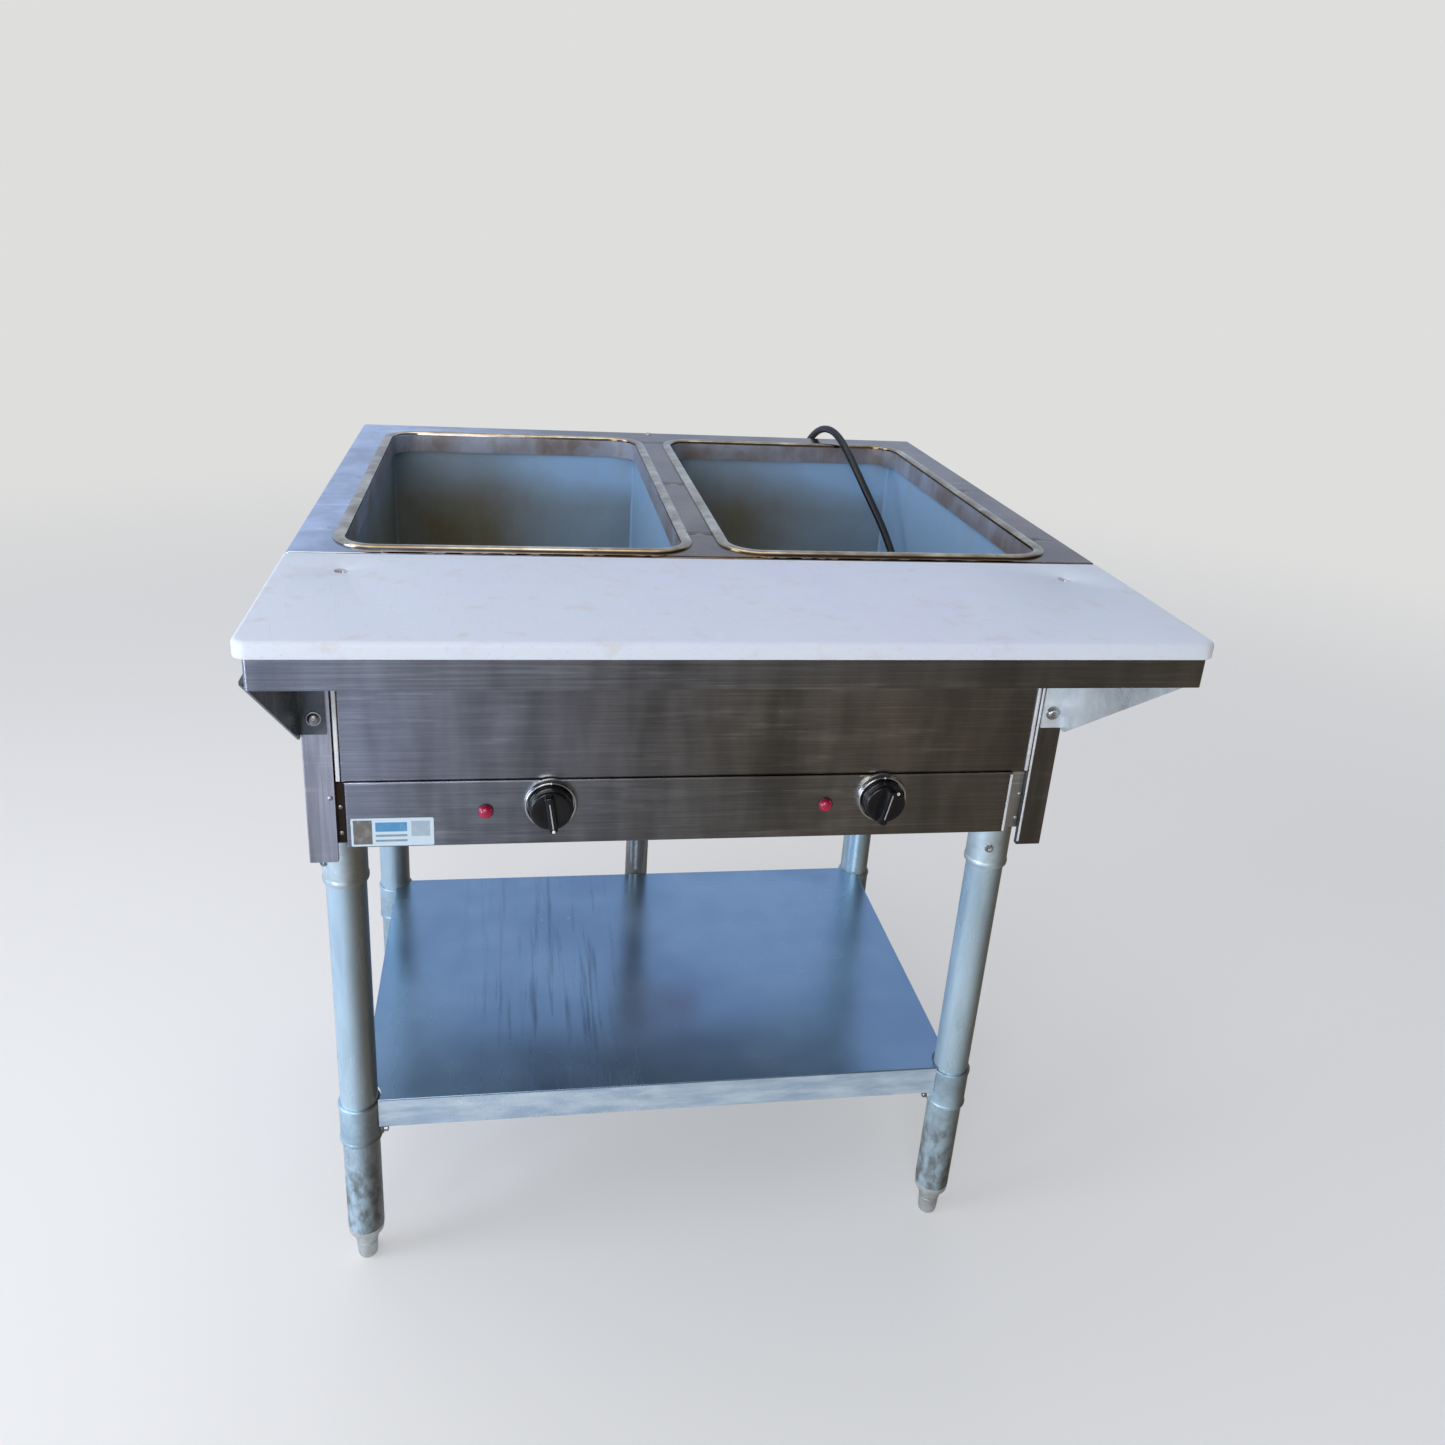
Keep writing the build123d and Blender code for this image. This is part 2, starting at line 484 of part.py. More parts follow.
# ---------------------------------------------------------------- controls
# A rotary heat switch behind the panel for each well, its turning shaft, a
# fixed dial ring in front, and a knob with a grip bar.
SWITCH_DEPTH = 40.0
RING_RADIUS = 26.0
RING_BORE = 22.6
KNOB_RADIUS = 21.6
KNOB_FACE = -200.0
KNOB_TIP = -208.5
KNOB_TILT = {"left": 172.0, "right": 12.0}      # degrees clockwise from upright
switch_front = CONTROL_FACE + BODY_SHEET
for side, x in KNOB_X.items():
    with BuildPart() as heat_switch:
        block((x - 20, switch_front + 4, CONTROL_Z - 24), (x + 20, switch_front + 4 + SWITCH_DEPTH, CONTROL_Z + 20))
        block((x - 24, switch_front + 2.8, CONTROL_Z - 10), (x + 24, switch_front + 4, CONTROL_Z + 10))
        turned((x, CONTROL_FACE - 2.4, CONTROL_Z), (0, 1, 0), [
            (0, 0), (BUSHING_RADIUS, 0), (BUSHING_RADIUS, 3.6), (8, 3.6), (8, 8), (0, 8)])
        for lug_x in (-12, 0, 12):
            block((x + lug_x - 3, switch_front + SWITCH_DEPTH, CONTROL_Z + 6),
                  (x + lug_x + 3, switch_front + SWITCH_DEPTH + 12, CONTROL_Z + 6.8))
        with Locations(facing_front(x, CONTROL_FACE + 2, CONTROL_Z)):
            Cylinder(SHAFT_RADIUS + 0.06, 30, mode=Mode.SUBTRACT)
    save(heat_switch, f"heat_switch_{side}")

    with BuildPart() as switch_shaft:
        turned((x, KNOB_FACE + 4, CONTROL_Z), (0, 1, 0), [
            (0, 0), (SHAFT_RADIUS, 0), (SHAFT_RADIUS, 28), (0, 28)])
    save(switch_shaft, f"switch_shaft_{side}")

    with BuildPart() as knob_bezel:
        turned((x, CONTROL_FACE, CONTROL_Z), (0, -1, 0), [
            (9.5, 0), (RING_RADIUS, 0), (RING_RADIUS, 3), (RING_RADIUS - 1.6, 7.5),
            (RING_BORE, 7.5), (RING_BORE, 1.2), (9.5, 1.2)])
    save(knob_bezel, f"knob_bezel_{side}")

    with BuildPart() as knob:
        turned((x, CONTROL_FACE - 2.6, CONTROL_Z), (0, -1, 0), [
            (SHAFT_RADIUS, 0), (KNOB_RADIUS, 0), (KNOB_RADIUS, 6), (KNOB_RADIUS - 1.2, 15),
            (KNOB_RADIUS - 3.2, 16.9), (0, 16.9), (0, CONTROL_FACE - 2.6 - KNOB_FACE - 4),
            (SHAFT_RADIUS, CONTROL_FACE - 2.6 - KNOB_FACE - 4)])
        tilt = math.radians(KNOB_TILT[side])
        grip_plane = Plane(origin=(x, KNOB_FACE + 1, CONTROL_Z),
                           x_dir=(math.cos(tilt), 0, -math.sin(tilt)), z_dir=(0, -1, 0))
        with BuildSketch(grip_plane) as grip:
            RectangleRounded(8.5, 38, 2.5)
        extrude(grip.sketch, amount=KNOB_FACE - KNOB_TIP + 1, taper=4)
    save(knob, f"knob_{side}")

    light_x = LIGHT_X[side]
    with BuildPart() as indicator_light:
        turned((light_x, CONTROL_FACE, LIGHT_Z), (0, -1, 0), [
            (0, -20), (LAMP_RADIUS, -20), (LAMP_RADIUS, 0), (7.6, 0), (7.2, 2.2), (5.4, 4.8), (2.8, 6.2), (0, 6.6)])
    save(indicator_light, f"indicator_light_{side}")

# Plain rating plate at the control panel's lower left corner.
with BuildPart() as rating_plate:
    block((-331, CONTROL_FACE - 0.4, 602.5), (-254, CONTROL_FACE, 632.5))
    fillet(rating_plate.edges().filter_by(Axis.Y), 1.5)
save(rating_plate, "rating_plate")

# ---------------------------------------------------------------- wiring
pan_top = PAN_Z + BODY_SHEET
with BuildPart() as terminal_block:
    block((200, 340, pan_top), (250, 366, pan_top + 14))
    for x in (208, 225, 242):
        block((x - 6, 343, pan_top + 14), (x + 6, 363, pan_top + 20))
save(terminal_block, "terminal_block")

LOOM_RADIUS = 3.5
LOOM_START_Y = 339.8
with BuildPart() as internal_wiring:
    loom_z = pan_top + 7
    switch_back = switch_front + 4 + SWITCH_DEPTH
    left_x, right_x = KNOB_X["left"], KNOB_X["right"]
    routes = [[(208, LOOM_START_Y, loom_z), (208, 100, loom_z), (left_x, 100, loom_z)],
              [(235, LOOM_START_Y, loom_z), (235, 60, loom_z), (right_x, 60, loom_z)]]
    for route, x in zip(routes, (left_x, right_x)):
        route += [(x, switch_back + 50, loom_z), (x, switch_back + 25, CONTROL_Z - 14),
                  (x, switch_back + 0.2, CONTROL_Z - 14)]
        with BuildLine() as loom:
            FilletPolyline(*route, radius=12)
        with BuildSketch(Plane(origin=loom.line @ 0, z_dir=loom.line % 0)) as section:
            Circle(LOOM_RADIUS)
        sweep(section.sketch, path=loom.line)
save(internal_wiring, "internal_wiring")

# ---------------------------------------------------------------- power cord
CORD_RADIUS = 4.75
CORD_DIAMETER = 2 * CORD_RADIUS
RELIEF_END = 431.0
with BuildPart() as strain_relief:
    turned((CORD_X, PANEL_BACK, CORD_EXIT_Z), (0, 1, 0), [
        (0, -12), (8.8, -12), (8.8, 0), (12, 0), (12, 5), (9.5, 6.5), (8.6, 9),
        (6.2, RELIEF_END - PANEL_BACK), (0, RELIEF_END - PANEL_BACK)])
save(strain_relief, "strain_relief")

# The cord leaves the back, rises behind it, comes over the deck's rear edge
# and hangs down into the right-hand well.
COIL_X = 256.0
COIL_Y = 60.0
OUTER_TURN = 6 * CORD_DIAMETER
INNER_TURN = 5 * CORD_DIAMETER
coil_side_x = COIL_X + OUTER_TURN
floor_z = WELL_FLOOR + CORD_RADIUS
CORD_ROUTE = [
    (CORD_X, RELIEF_END, CORD_EXIT_Z),
    (215, 459, 640),
    (216, 484, 660),
    (219, 494, 700),
    (223, 487, 762),
    (228, 467, 828),
    (234, 441, 880),
    (242, 407, 909),
    (250, 367, 916),
    (257, 331, 906),
    (267, 299, 881),
    (281, 269, 848),
    (297, 240, 813),
    (309, 215, 777),
    (315.5, 192, 737),
    (317, 165, 707),
    (316, 132, 695.5),
    (coil_side_x, 100, floor_z),
    (coil_side_x, COIL_Y, floor_z),
]


def corner_radii(points):
    """Arc radius for each corner, as large as its two runs allow."""
    runs = [Vector(*b) - Vector(*a) for a, b in zip(points, points[1:])]
    radii = []
    for before, after in zip(runs, runs[1:]):
        half_turn = math.radians(before.get_angle(after)) / 2
        radii.append(0.45 * min(before.length, after.length) / math.tan(half_turn))
    return radii


def cord_tube(points):
    """Sweep the cord's section along a route with rounded corners."""
    with BuildLine() as path:
        if len(points) > 2:
            FilletPolyline(*points, radius=corner_radii(points))
        else:
            Line(*points)
    with BuildSketch(Plane(origin=path.line @ 0, z_dir=path.line % 0)) as section:
        Circle(CORD_RADIUS)
    sweep(section.sketch, path=path.line)
    return sum(edge.length for edge in path.line.edges())


with BuildPart() as power_cord:
    lead_length = cord_tube(CORD_ROUTE)
save(power_cord, "power_cord")
print("cord radii", [round(r) for r in corner_radii(CORD_ROUTE)])
print("lead length", round(lead_length), "volume check",
      round(power_cord.part.volume / (lead_length * math.pi * CORD_RADIUS ** 2), 4))

# The put-away length lies on the well's floor in a coil two turns wide and high.
with BuildPart() as cord_coil:
    turned((COIL_X, COIL_Y, WELL_FLOOR), (0, 0, 1), [
        (INNER_TURN - CORD_RADIUS, 0), (OUTER_TURN + CORD_RADIUS, 0),
        (OUTER_TURN + CORD_RADIUS, 2 * CORD_DIAMETER), (INNER_TURN - CORD_RADIUS, 2 * CORD_DIAMETER)])
save(cord_coil, "cord_coil")

# From the coil's upper turn a short tail runs into the plug beside it.
PLUG_BACK_Y = 18.0
PLUG_RADIUS = 14.25
tail_z = WELL_FLOOR + 1.5 * CORD_DIAMETER
with BuildPart() as cord_tail:
    tail_length = cord_tube([(coil_side_x, COIL_Y, tail_z), (coil_side_x, PLUG_BACK_Y, tail_z)])
save(cord_tail, "cord_tail")

with BuildPart() as plug:
    turned((coil_side_x, PLUG_BACK_Y, tail_z), (0, -1, 0), [
        (0, 0), (5.6, 0), (7.4, 18), (12.4, 22), (PLUG_RADIUS, 30), (PLUG_RADIUS, 48), (13.2, 50), (0, 50)])
save(plug, "plug")

with BuildPart() as plug_blades:
    blade_y = PLUG_BACK_Y - 50
    for blade_x in (-6.35, 6.35):
        block((coil_side_x + blade_x - 0.75, blade_y - 16, tail_z - 0.5),
              (coil_side_x + blade_x + 0.75, blade_y, tail_z + 6))
    turned((coil_side_x, blade_y, tail_z - 9), (0, -1, 0), [(0, 0), (2.4, 0), (2.4, 17), (1.4, 19), (0, 19)])
save(plug_blades, "plug_blades")

# ---------------------------------------------------------------- drain
# Each well drains through a screwed fitting to a common pipe under the body;
# a ball valve below it opens to the drop pipe behind the undershelf.
PIPE_RADIUS = 16.7
PIPE_BORE = 14.9
DROP_X = 8.0
DROP_Y = 366.0
MANIFOLD_Z = 560.0
VALVE_Z = 470.0
DROP_END_Z = 120.0
with BuildPart() as drain_fittings:
    for middle_x, _ in WELLS:
        turned((middle_x, DRAIN_Y, WELL_FLOOR), (0, 0, 1), [
            (8, 0.1), (24, 0.1), (22, 1.6), (10, 1.6), (8, 0.9)])
        turned((middle_x, DRAIN_Y, WELL_FLOOR), (0, 0, 1), [
            (8, 0.2), (DRAIN_RADIUS - 0.2, 0.2), (DRAIN_RADIUS - 0.2, -WELL_SHEET), (22, -WELL_SHEET),
            (22, -7), (DRAIN_RADIUS, -7), (DRAIN_RADIUS, MANIFOLD_Z - WELL_FLOOR + 30),
            (11, MANIFOLD_Z - WELL_FLOOR + 30), (11, -10), (8, -8)])
save(drain_fittings, "drain_fittings")

with BuildPart() as drain_manifold:
    with Locations(Location((0, DRAIN_Y, MANIFOLD_Z), (0, 90, 0))):
        Cylinder(PIPE_RADIUS, 2 * WELL_X + 2 * 22)
    with Locations(Location((DROP_X, (DRAIN_Y + DROP_Y) / 2, MANIFOLD_Z), (90, 0, 0))):
        Cylinder(PIPE_RADIUS, DROP_Y - DRAIN_Y)
    with Locations((DROP_X, DROP_Y, MANIFOLD_Z)):
        Sphere(PIPE_RADIUS + 2)
    for middle_x, _ in WELLS:
        with Locations((middle_x, DRAIN_Y, MANIFOLD_Z + 12)):
            Cylinder(19, 34)
        with Locations(Location((middle_x, DRAIN_Y, MANIFOLD_Z), (0, 90, 0))):
            Cylinder(19.5, 40)
    with Locations((DROP_X, DROP_Y, (MANIFOLD_Z + VALVE_Z + 34) / 2)):
        Cylinder(PIPE_RADIUS, MANIFOLD_Z - VALVE_Z - 34)
    for middle_x, _ in WELLS:
        with Locations((middle_x, DRAIN_Y, MANIFOLD_Z + 20)):
            Cylinder(DRAIN_RADIUS, 20.01, mode=Mode.SUBTRACT)
save(drain_manifold, "drain_manifold")

# Brass ball valve: two hexagon ends, a round middle, and a stem boss in front.
STEM_FRONT_Y = DROP_Y - 36
with BuildPart() as drain_valve:
    for z in (VALVE_Z + 25, VALVE_Z - 25):
        with BuildSketch(Plane.XY.offset(z - 9)):
            with Locations((DROP_X, DROP_Y)):
                RegularPolygon(22, 6)
        extrude(amount=18)
    with Locations((DROP_X, DROP_Y, VALVE_Z)):
        Cylinder(21, 34)
    with Locations(facing_front(DROP_X, DROP_Y - 24, VALVE_Z)):
        Cylinder(9, 12)
    with Locations(facing_front(DROP_X, STEM_FRONT_Y + 2, VALVE_Z)):
        Cylinder(4, 8)
    turned((DROP_X, STEM_FRONT_Y + 2.8, VALVE_Z), (0, -1, 0), [(0, 0), (6.5, 0), (6.5, 4), (0, 4)])
save(drain_valve, "drain_valve")

# Its lever lies across the pipe when shut and along the pipe when open.
with BuildPart() as drain_valve_lever:
    lever_plane = facing_front(DROP_X, STEM_FRONT_Y + 5.5, VALVE_Z)
    with BuildSketch(lever_plane) as lever_outline:
        with Locations((45, 0)):
            SlotOverall(118, 20)
    extrude(lever_outline.sketch, amount=2.5)
    with BuildSketch(lever_plane.offset(1.25)) as grip_outline:
        with Locations((68, 0)):
            SlotOverall(76, 24)
    extrude(grip_outline.sketch, amount=3, both=True)
    with Locations(facing_front(DROP_X, STEM_FRONT_Y + 4, VALVE_Z)):
        Cylinder(4.06, 12, mode=Mode.SUBTRACT)
save(drain_valve_lever, "drain_valve_lever")

# Drop pipe; its lowest 30 mm is turned down a little to take a drain hose.
SPIGOT_RADIUS = 16.5
SPIGOT_TOP = DROP_END_Z + 30
with BuildPart() as drain_pipe:
    turned((DROP_X, DROP_Y, DROP_END_Z), (0, 0, 1), [
        (PIPE_BORE, 0), (SPIGOT_RADIUS, 0), (SPIGOT_RADIUS, SPIGOT_TOP - DROP_END_Z),
        (PIPE_RADIUS, SPIGOT_TOP - DROP_END_Z), (PIPE_RADIUS, VALVE_Z - 34 - DROP_END_Z),
        (PIPE_BORE, VALVE_Z - 34 - DROP_END_Z)])
save(drain_pipe, "drain_pipe")
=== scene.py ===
import math

import bmesh
import bpy
from mathutils import Matrix, Vector


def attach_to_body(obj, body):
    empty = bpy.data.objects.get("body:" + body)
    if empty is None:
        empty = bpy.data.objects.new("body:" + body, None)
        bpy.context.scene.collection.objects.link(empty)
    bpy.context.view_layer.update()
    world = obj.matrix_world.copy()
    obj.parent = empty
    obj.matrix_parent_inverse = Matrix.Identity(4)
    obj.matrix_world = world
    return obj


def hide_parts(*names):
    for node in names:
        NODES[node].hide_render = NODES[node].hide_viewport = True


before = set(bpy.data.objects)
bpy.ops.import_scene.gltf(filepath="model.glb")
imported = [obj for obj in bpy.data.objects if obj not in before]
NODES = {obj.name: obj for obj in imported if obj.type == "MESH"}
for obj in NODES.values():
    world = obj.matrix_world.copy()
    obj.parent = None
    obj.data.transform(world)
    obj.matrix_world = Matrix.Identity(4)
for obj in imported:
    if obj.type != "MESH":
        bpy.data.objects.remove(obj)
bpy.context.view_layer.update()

bl_info = {
    "name": "Steam Table Builder",
    "version": (1, 0, 0),
    "blender": (4, 5, 0),
    "location": "3D View > Sidebar > Steam Table",
    "description": "Builds the deck, board, controls, leg fittings, cord and finishes of a steam table",
    "category": "Add Mesh",
}

MM = 0.001
CORNERS = {"front_left": (-350, -103), "front_right": (350, -103),
           "back_left": (-350, 348), "back_right": (350, 348)}
WELL_CENTRES = ((-175.5, 91.0), (175.5, 91.0))
TABLE_TOP = 896.0
CONTROL_FACE = -180.5
CONTROL_Z = 646.0
KNOBS = {"left": (-143.0, 172.0), "right": (189.0, 12.0)}     # middle, turn clockwise from upright
LAMPS = {"left": -205.0, "right": 132.0}
CAMERA_SPOT = (-0.1789, -1.20265, 1.2006)
CAMERA_ANGLES = (10.12, 21.42, 3.74)                            # yaw, pitch and roll in degrees
CAMERA_SHIFT = (0.0093, -0.0424)


# ---------------------------------------------------------------- colours and nodes
def linear(code):
    """Turn an sRGB hex colour into linear RGBA."""
    parts = [int(code[i:i + 2], 16) / 255 for i in (1, 3, 5)]
    return (*[c / 12.92 if c <= 0.04045 else ((c + 0.055) / 1.055) ** 2.4 for c in parts], 1.0)


def add(tree, kind, inputs=None, **settings):
    """Add a node with its settings; a shader node goes by its short name.

    An input is a value, a hex colour, a socket, or a node whose live output is linked.
    """
    made = tree.nodes.new(kind if "Node" in kind else "ShaderNode" + kind)
    for name, value in settings.items():
        setattr(made, name, value)
    for key, value in (inputs or {}).items():
        if isinstance(value, bpy.types.Node):
            value = next(socket for socket in value.outputs if socket.enabled)
        if isinstance(value, bpy.types.NodeSocket):
            tree.links.new(value, made.inputs[key])
        elif isinstance(value, str) and value.startswith("#"):
            made.inputs[key].default_value = linear(value)
        else:
            made.inputs[key].default_value = value
    return made


def material(name, surface):
    """A new material; its surface function gets the tree and object coordinates and returns the shader."""
    made = bpy.data.materials.new(name)
    made.use_nodes = True
    tree = made.node_tree
    tree.nodes.clear()
    place = add(tree, "TexCoord").outputs["Object"]
    add(tree, "OutputMaterial", {"Surface": surface(tree, place)})
    return made


def dress(finish, *names):
    """Give carried-over nodes a finish in their material slots."""
    for name in names:
        slots = NODES[name].data.materials
        slots.clear()
        slots.append(finish)


# ---------------------------------------------------------------- finishes
def marks(tree, place, size, low, high, stretch=(1, 1, 1), detail=3.0, seed=0.0):
    """Cloudy marks of about a size in millimetres, from 0 to 1 between two noise levels."""
    scaled = add(tree, "Mapping", {"Vector": place, "Location": (seed, seed * 0.7, seed * 1.3),
                                   "Scale": [1000 / size / s for s in stretch]})
    cloud = add(tree, "TexNoise", {"Vector": scaled, "Scale": 1.0, "Detail": detail, "Roughness": 0.6})
    return add(tree, "MapRange", {"Value": cloud, "From Min": low, "From Max": high},
               interpolation_type="SMOOTHSTEP")


def specks(tree, place, spacing, size):
    """Round specks, one to a cell of the spacing in millimetres, kept in some cells only."""
    cells = add(tree, "TexVoronoi", {"Vector": place, "Scale": 1000 / spacing})
    dot = add(tree, "MapRange", {"Value": cells.outputs["Distance"], "From Min": size / spacing,
                                 "From Max": size / spacing * 0.6})
    keep = add(tree, "Math", {0: cells.outputs["Color"], 1: 0.55}, operation="GREATER_THAN")
    return add(tree, "Math", {0: dot, 1: keep}, operation="MULTIPLY")


def stain(tree, base, pattern, strength, tint, **settings):
    """Lay a tint over the base colour where a pattern shows."""
    amount = add(tree, "Math", {0: pattern, 1: strength}, operation="MULTIPLY")
    return add(tree, "Mix", {0: amount, 6: base, 7: tint}, data_type="RGBA", **settings)


def finished(tree, base, gloss, strength, reliefs, extra):
    """The shader that ends a finish; each relief is a pattern and its height in millimetres."""
    height = 0.0
    for pattern, high in reliefs:
        height = add(tree, "Math", {0: pattern, 1: high * MM, 2: height}, operation="MULTIPLY_ADD")
    bump = add(tree, "Bump", {"Strength": strength, "Distance": 1.0, "Height": height})
    return add(tree, "BsdfPrincipled", {"Base Color": base, "Roughness": gloss, "Normal": bump, **extra})


def steel(name, left, right, rough=(0.24, 0.36), grain=(120, 2.0, 1.4), depth=0.006, smudge=0.2,
          scratch=0.2, fleck=0.4, wave=0.0, shine_above=None, turn=(-0.38, 0.2)):
    """Stainless sheet: a left and a right colour blended across X as a painted reflection, grain lengths
    along X, Y and Z in millimetres.
    """
    def surface(tree, place):
        axes = add(tree, "SeparateXYZ", {0: place})
        across = add(tree, "MapRange", {"Value": axes.outputs[0], "From Min": turn[0], "From Max": turn[1]},
                     interpolation_type="SMOOTHSTEP")
        lines = marks(tree, place, 1.0, 0.25, 0.75, stretch=grain, detail=2.0)
        cloud = marks(tree, place, 110, 0.25, 0.75, stretch=(0.6, 1, 2.2), seed=3.0)
        wiped = marks(tree, place, 24, 0.52, 0.78, stretch=(4.5, 2, 0.5), detail=5.0, seed=9.0)
        scored = marks(tree, place, 9, 0.66, 0.72, stretch=(16, 2, 0.22), detail=1.0, seed=5.0)
        # painted reflection: the colour turns from the left colour to the right colour across X
        base = add(tree, "Mix", {0: across, 6: left, 7: right}, data_type="RGBA")
        for pattern, low, high in ((cloud, 0.66, 1.32), (lines, 0.92, 1.07)):
            shade = add(tree, "MapRange", {"Value": pattern, "To Min": low, "To Max": high})
            base = add(tree, "Mix", {0: 1.0, 6: base, 7: shade}, data_type="RGBA", blend_type="MULTIPLY")
        pale = [min(1.0, c * 1.9 + 0.06) for c in linear(left)[:3]] + [1.0]
        # wiped marks and scores brighten the steel's own colour; splashes dry to pale specks
        for pattern, weight, blend, tint in (
                (wiped, smudge, "MULTIPLY", (2.3, 2.15, 1.95, 1)),
                (scored, scratch, "MULTIPLY", (2.6, 2.5, 2.4, 1)),
                (specks(tree, place, 13, 1.5), fleck, "MIX", pale)):
            base = stain(tree, base, pattern, weight, tint, blend_type=blend, clamp_result=True)
        gloss = add(tree, "MapRange", {"Value": lines, "To Min": rough[0], "To Max": rough[1]})
        gloss = add(tree, "Math", {0: wiped, 1: 0.12, 2: gloss}, operation="MULTIPLY_ADD")
        if shine_above is not None:
            # the raised bead is polished, so it is glossier than the flat; its lighter brown colour with pale
            # yellow patches is painted highlight
            crown = add(tree, "MapRange", {"Value": axes.outputs[2], "From Min": shine_above,
                                           "From Max": shine_above + 0.0015})
            highlight_patch = marks(tree, place, 45, 0.35, 0.75, detail=3.0, seed=15.0)
            painted_highlight = add(tree, "Mix", {0: highlight_patch, 6: "#a8926f", 7: "#f6e6c6"}, data_type="RGBA")
            base = add(tree, "Mix", {0: crown, 6: base, 7: painted_highlight}, data_type="RGBA")
            # painted crease shade and dirt: a dark line along the foot of the bead on both sides
            over = add(tree, "Math", {0: axes.outputs[2], 1: shine_above + 0.0001, 2: 0.00045},
                       operation="COMPARE")
            base = stain(tree, base, over, 0.75, "#463d34")
            gloss = add(tree, "MapRange", {"Value": crown, "To Min": gloss, "To Max": 0.14})
        reliefs = [(lines, depth)]
        if wave:
            reliefs.append((marks(tree, place, 150, 0.2, 0.8, detail=1.0, seed=7.0), wave))
        return finished(tree, base, gloss, 1.0, reliefs, {"Metallic": 1.0})
    return material(name, surface)


def zinc(name, pale, dark, rough=(0.3, 0.5), spangle=9.0, grime=0.0, grime_top=0.2, stretch=(1, 1, 1),
         streaks=0.25, wave=0.0, metal=0.55, tube=False):
    """Galvanised steel: zinc crystals of a size in millimetres, dull streaks, and dirt low down."""
    def surface(tree, place):
        axes = add(tree, "SeparateXYZ", {0: place})
        scaled = add(tree, "Mapping", {"Vector": place, "Scale": [1000 / spangle / s for s in stretch]})
        warp = add(tree, "TexNoise", {"Vector": scaled, "Scale": 2.0, "Detail": 2.0})
        bent = add(tree, "Mix", {0: 0.22, 4: scaled, 5: warp.outputs[1]}, data_type="VECTOR")
        crystals = add(tree, "TexVoronoi", {"Vector": bent, "Scale": 1.0})
        grey = add(tree, "SeparateColor", {0: crystals.outputs["Color"]})
        cloud = marks(tree, place, 70, 0.3, 0.7, stretch=stretch, detail=4.0, seed=2.0)
        mixed = add(tree, "Math", {0: grey, 1: 0.3, 2: cloud}, operation="MULTIPLY_ADD")
        amount = add(tree, "MapRange", {"Value": mixed, "From Min": 0.1, "From Max": 1.2})
        base = add(tree, "Mix", {0: amount, 6: dark, 7: pale}, data_type="RGBA")
        runs = marks(tree, place, 14, 0.5, 0.8, stretch=(1, 1, 6), detail=5.0, seed=6.0)
        base = stain(tree, base, runs, streaks, "#dfe6e8")
        if grime:
            low = add(tree, "MapRange", {"Value": axes.outputs[2], "From Min": grime_top,
                                         "From Max": grime_top - 0.1}, interpolation_type="SMOOTHSTEP")
            blots = marks(tree, place, 13, 0.36, 0.66, stretch=(1, 1, 1.6), detail=7.0, seed=11.0)
            soil = add(tree, "Math", {0: low, 1: blots}, operation="MULTIPLY")
            base = stain(tree, base, soil, grime, "#6a5c4c")
        if tube:
            # painted light and shade: each tube's -X side is painted pale blue as a highlight and its +X side
            # darker as shade
            side = add(tree, "Math", {0: axes.outputs[0]}, operation="SIGN")
            local = add(tree, "Math", {0: side, 1: -0.35, 2: axes.outputs[0]}, operation="MULTIPLY_ADD")
            wear_and_side_shade = add(tree, "MapRange", {"Value": local, "From Min": -0.006, "From Max": 0.015},
                       interpolation_type="SMOOTHSTEP")
            painted_side_tone = add(tree, "Mix", {0: wear_and_side_shade, 6: "#e2f6ff", 7: "#8a877e"}, data_type="RGBA")
            base = add(tree, "Mix", {0: 1.0, 6: base, 7: painted_side_tone}, data_type="RGBA", blend_type="MULTIPLY")
        gloss = add(tree, "MapRange", {"Value": mixed, "From Max": 1.3,
                                       "To Min": rough[0], "To Max": rough[1]})
        reliefs = [(grey.outputs[1], 0.012)]
        if wave:
            reliefs.append((marks(tree, place, 170, 0.2, 0.8, detail=1.0, seed=7.0), wave))
        return finished(tree, base, gloss, 0.6, reliefs, {"Metallic": metal})
    return material(name, surface)


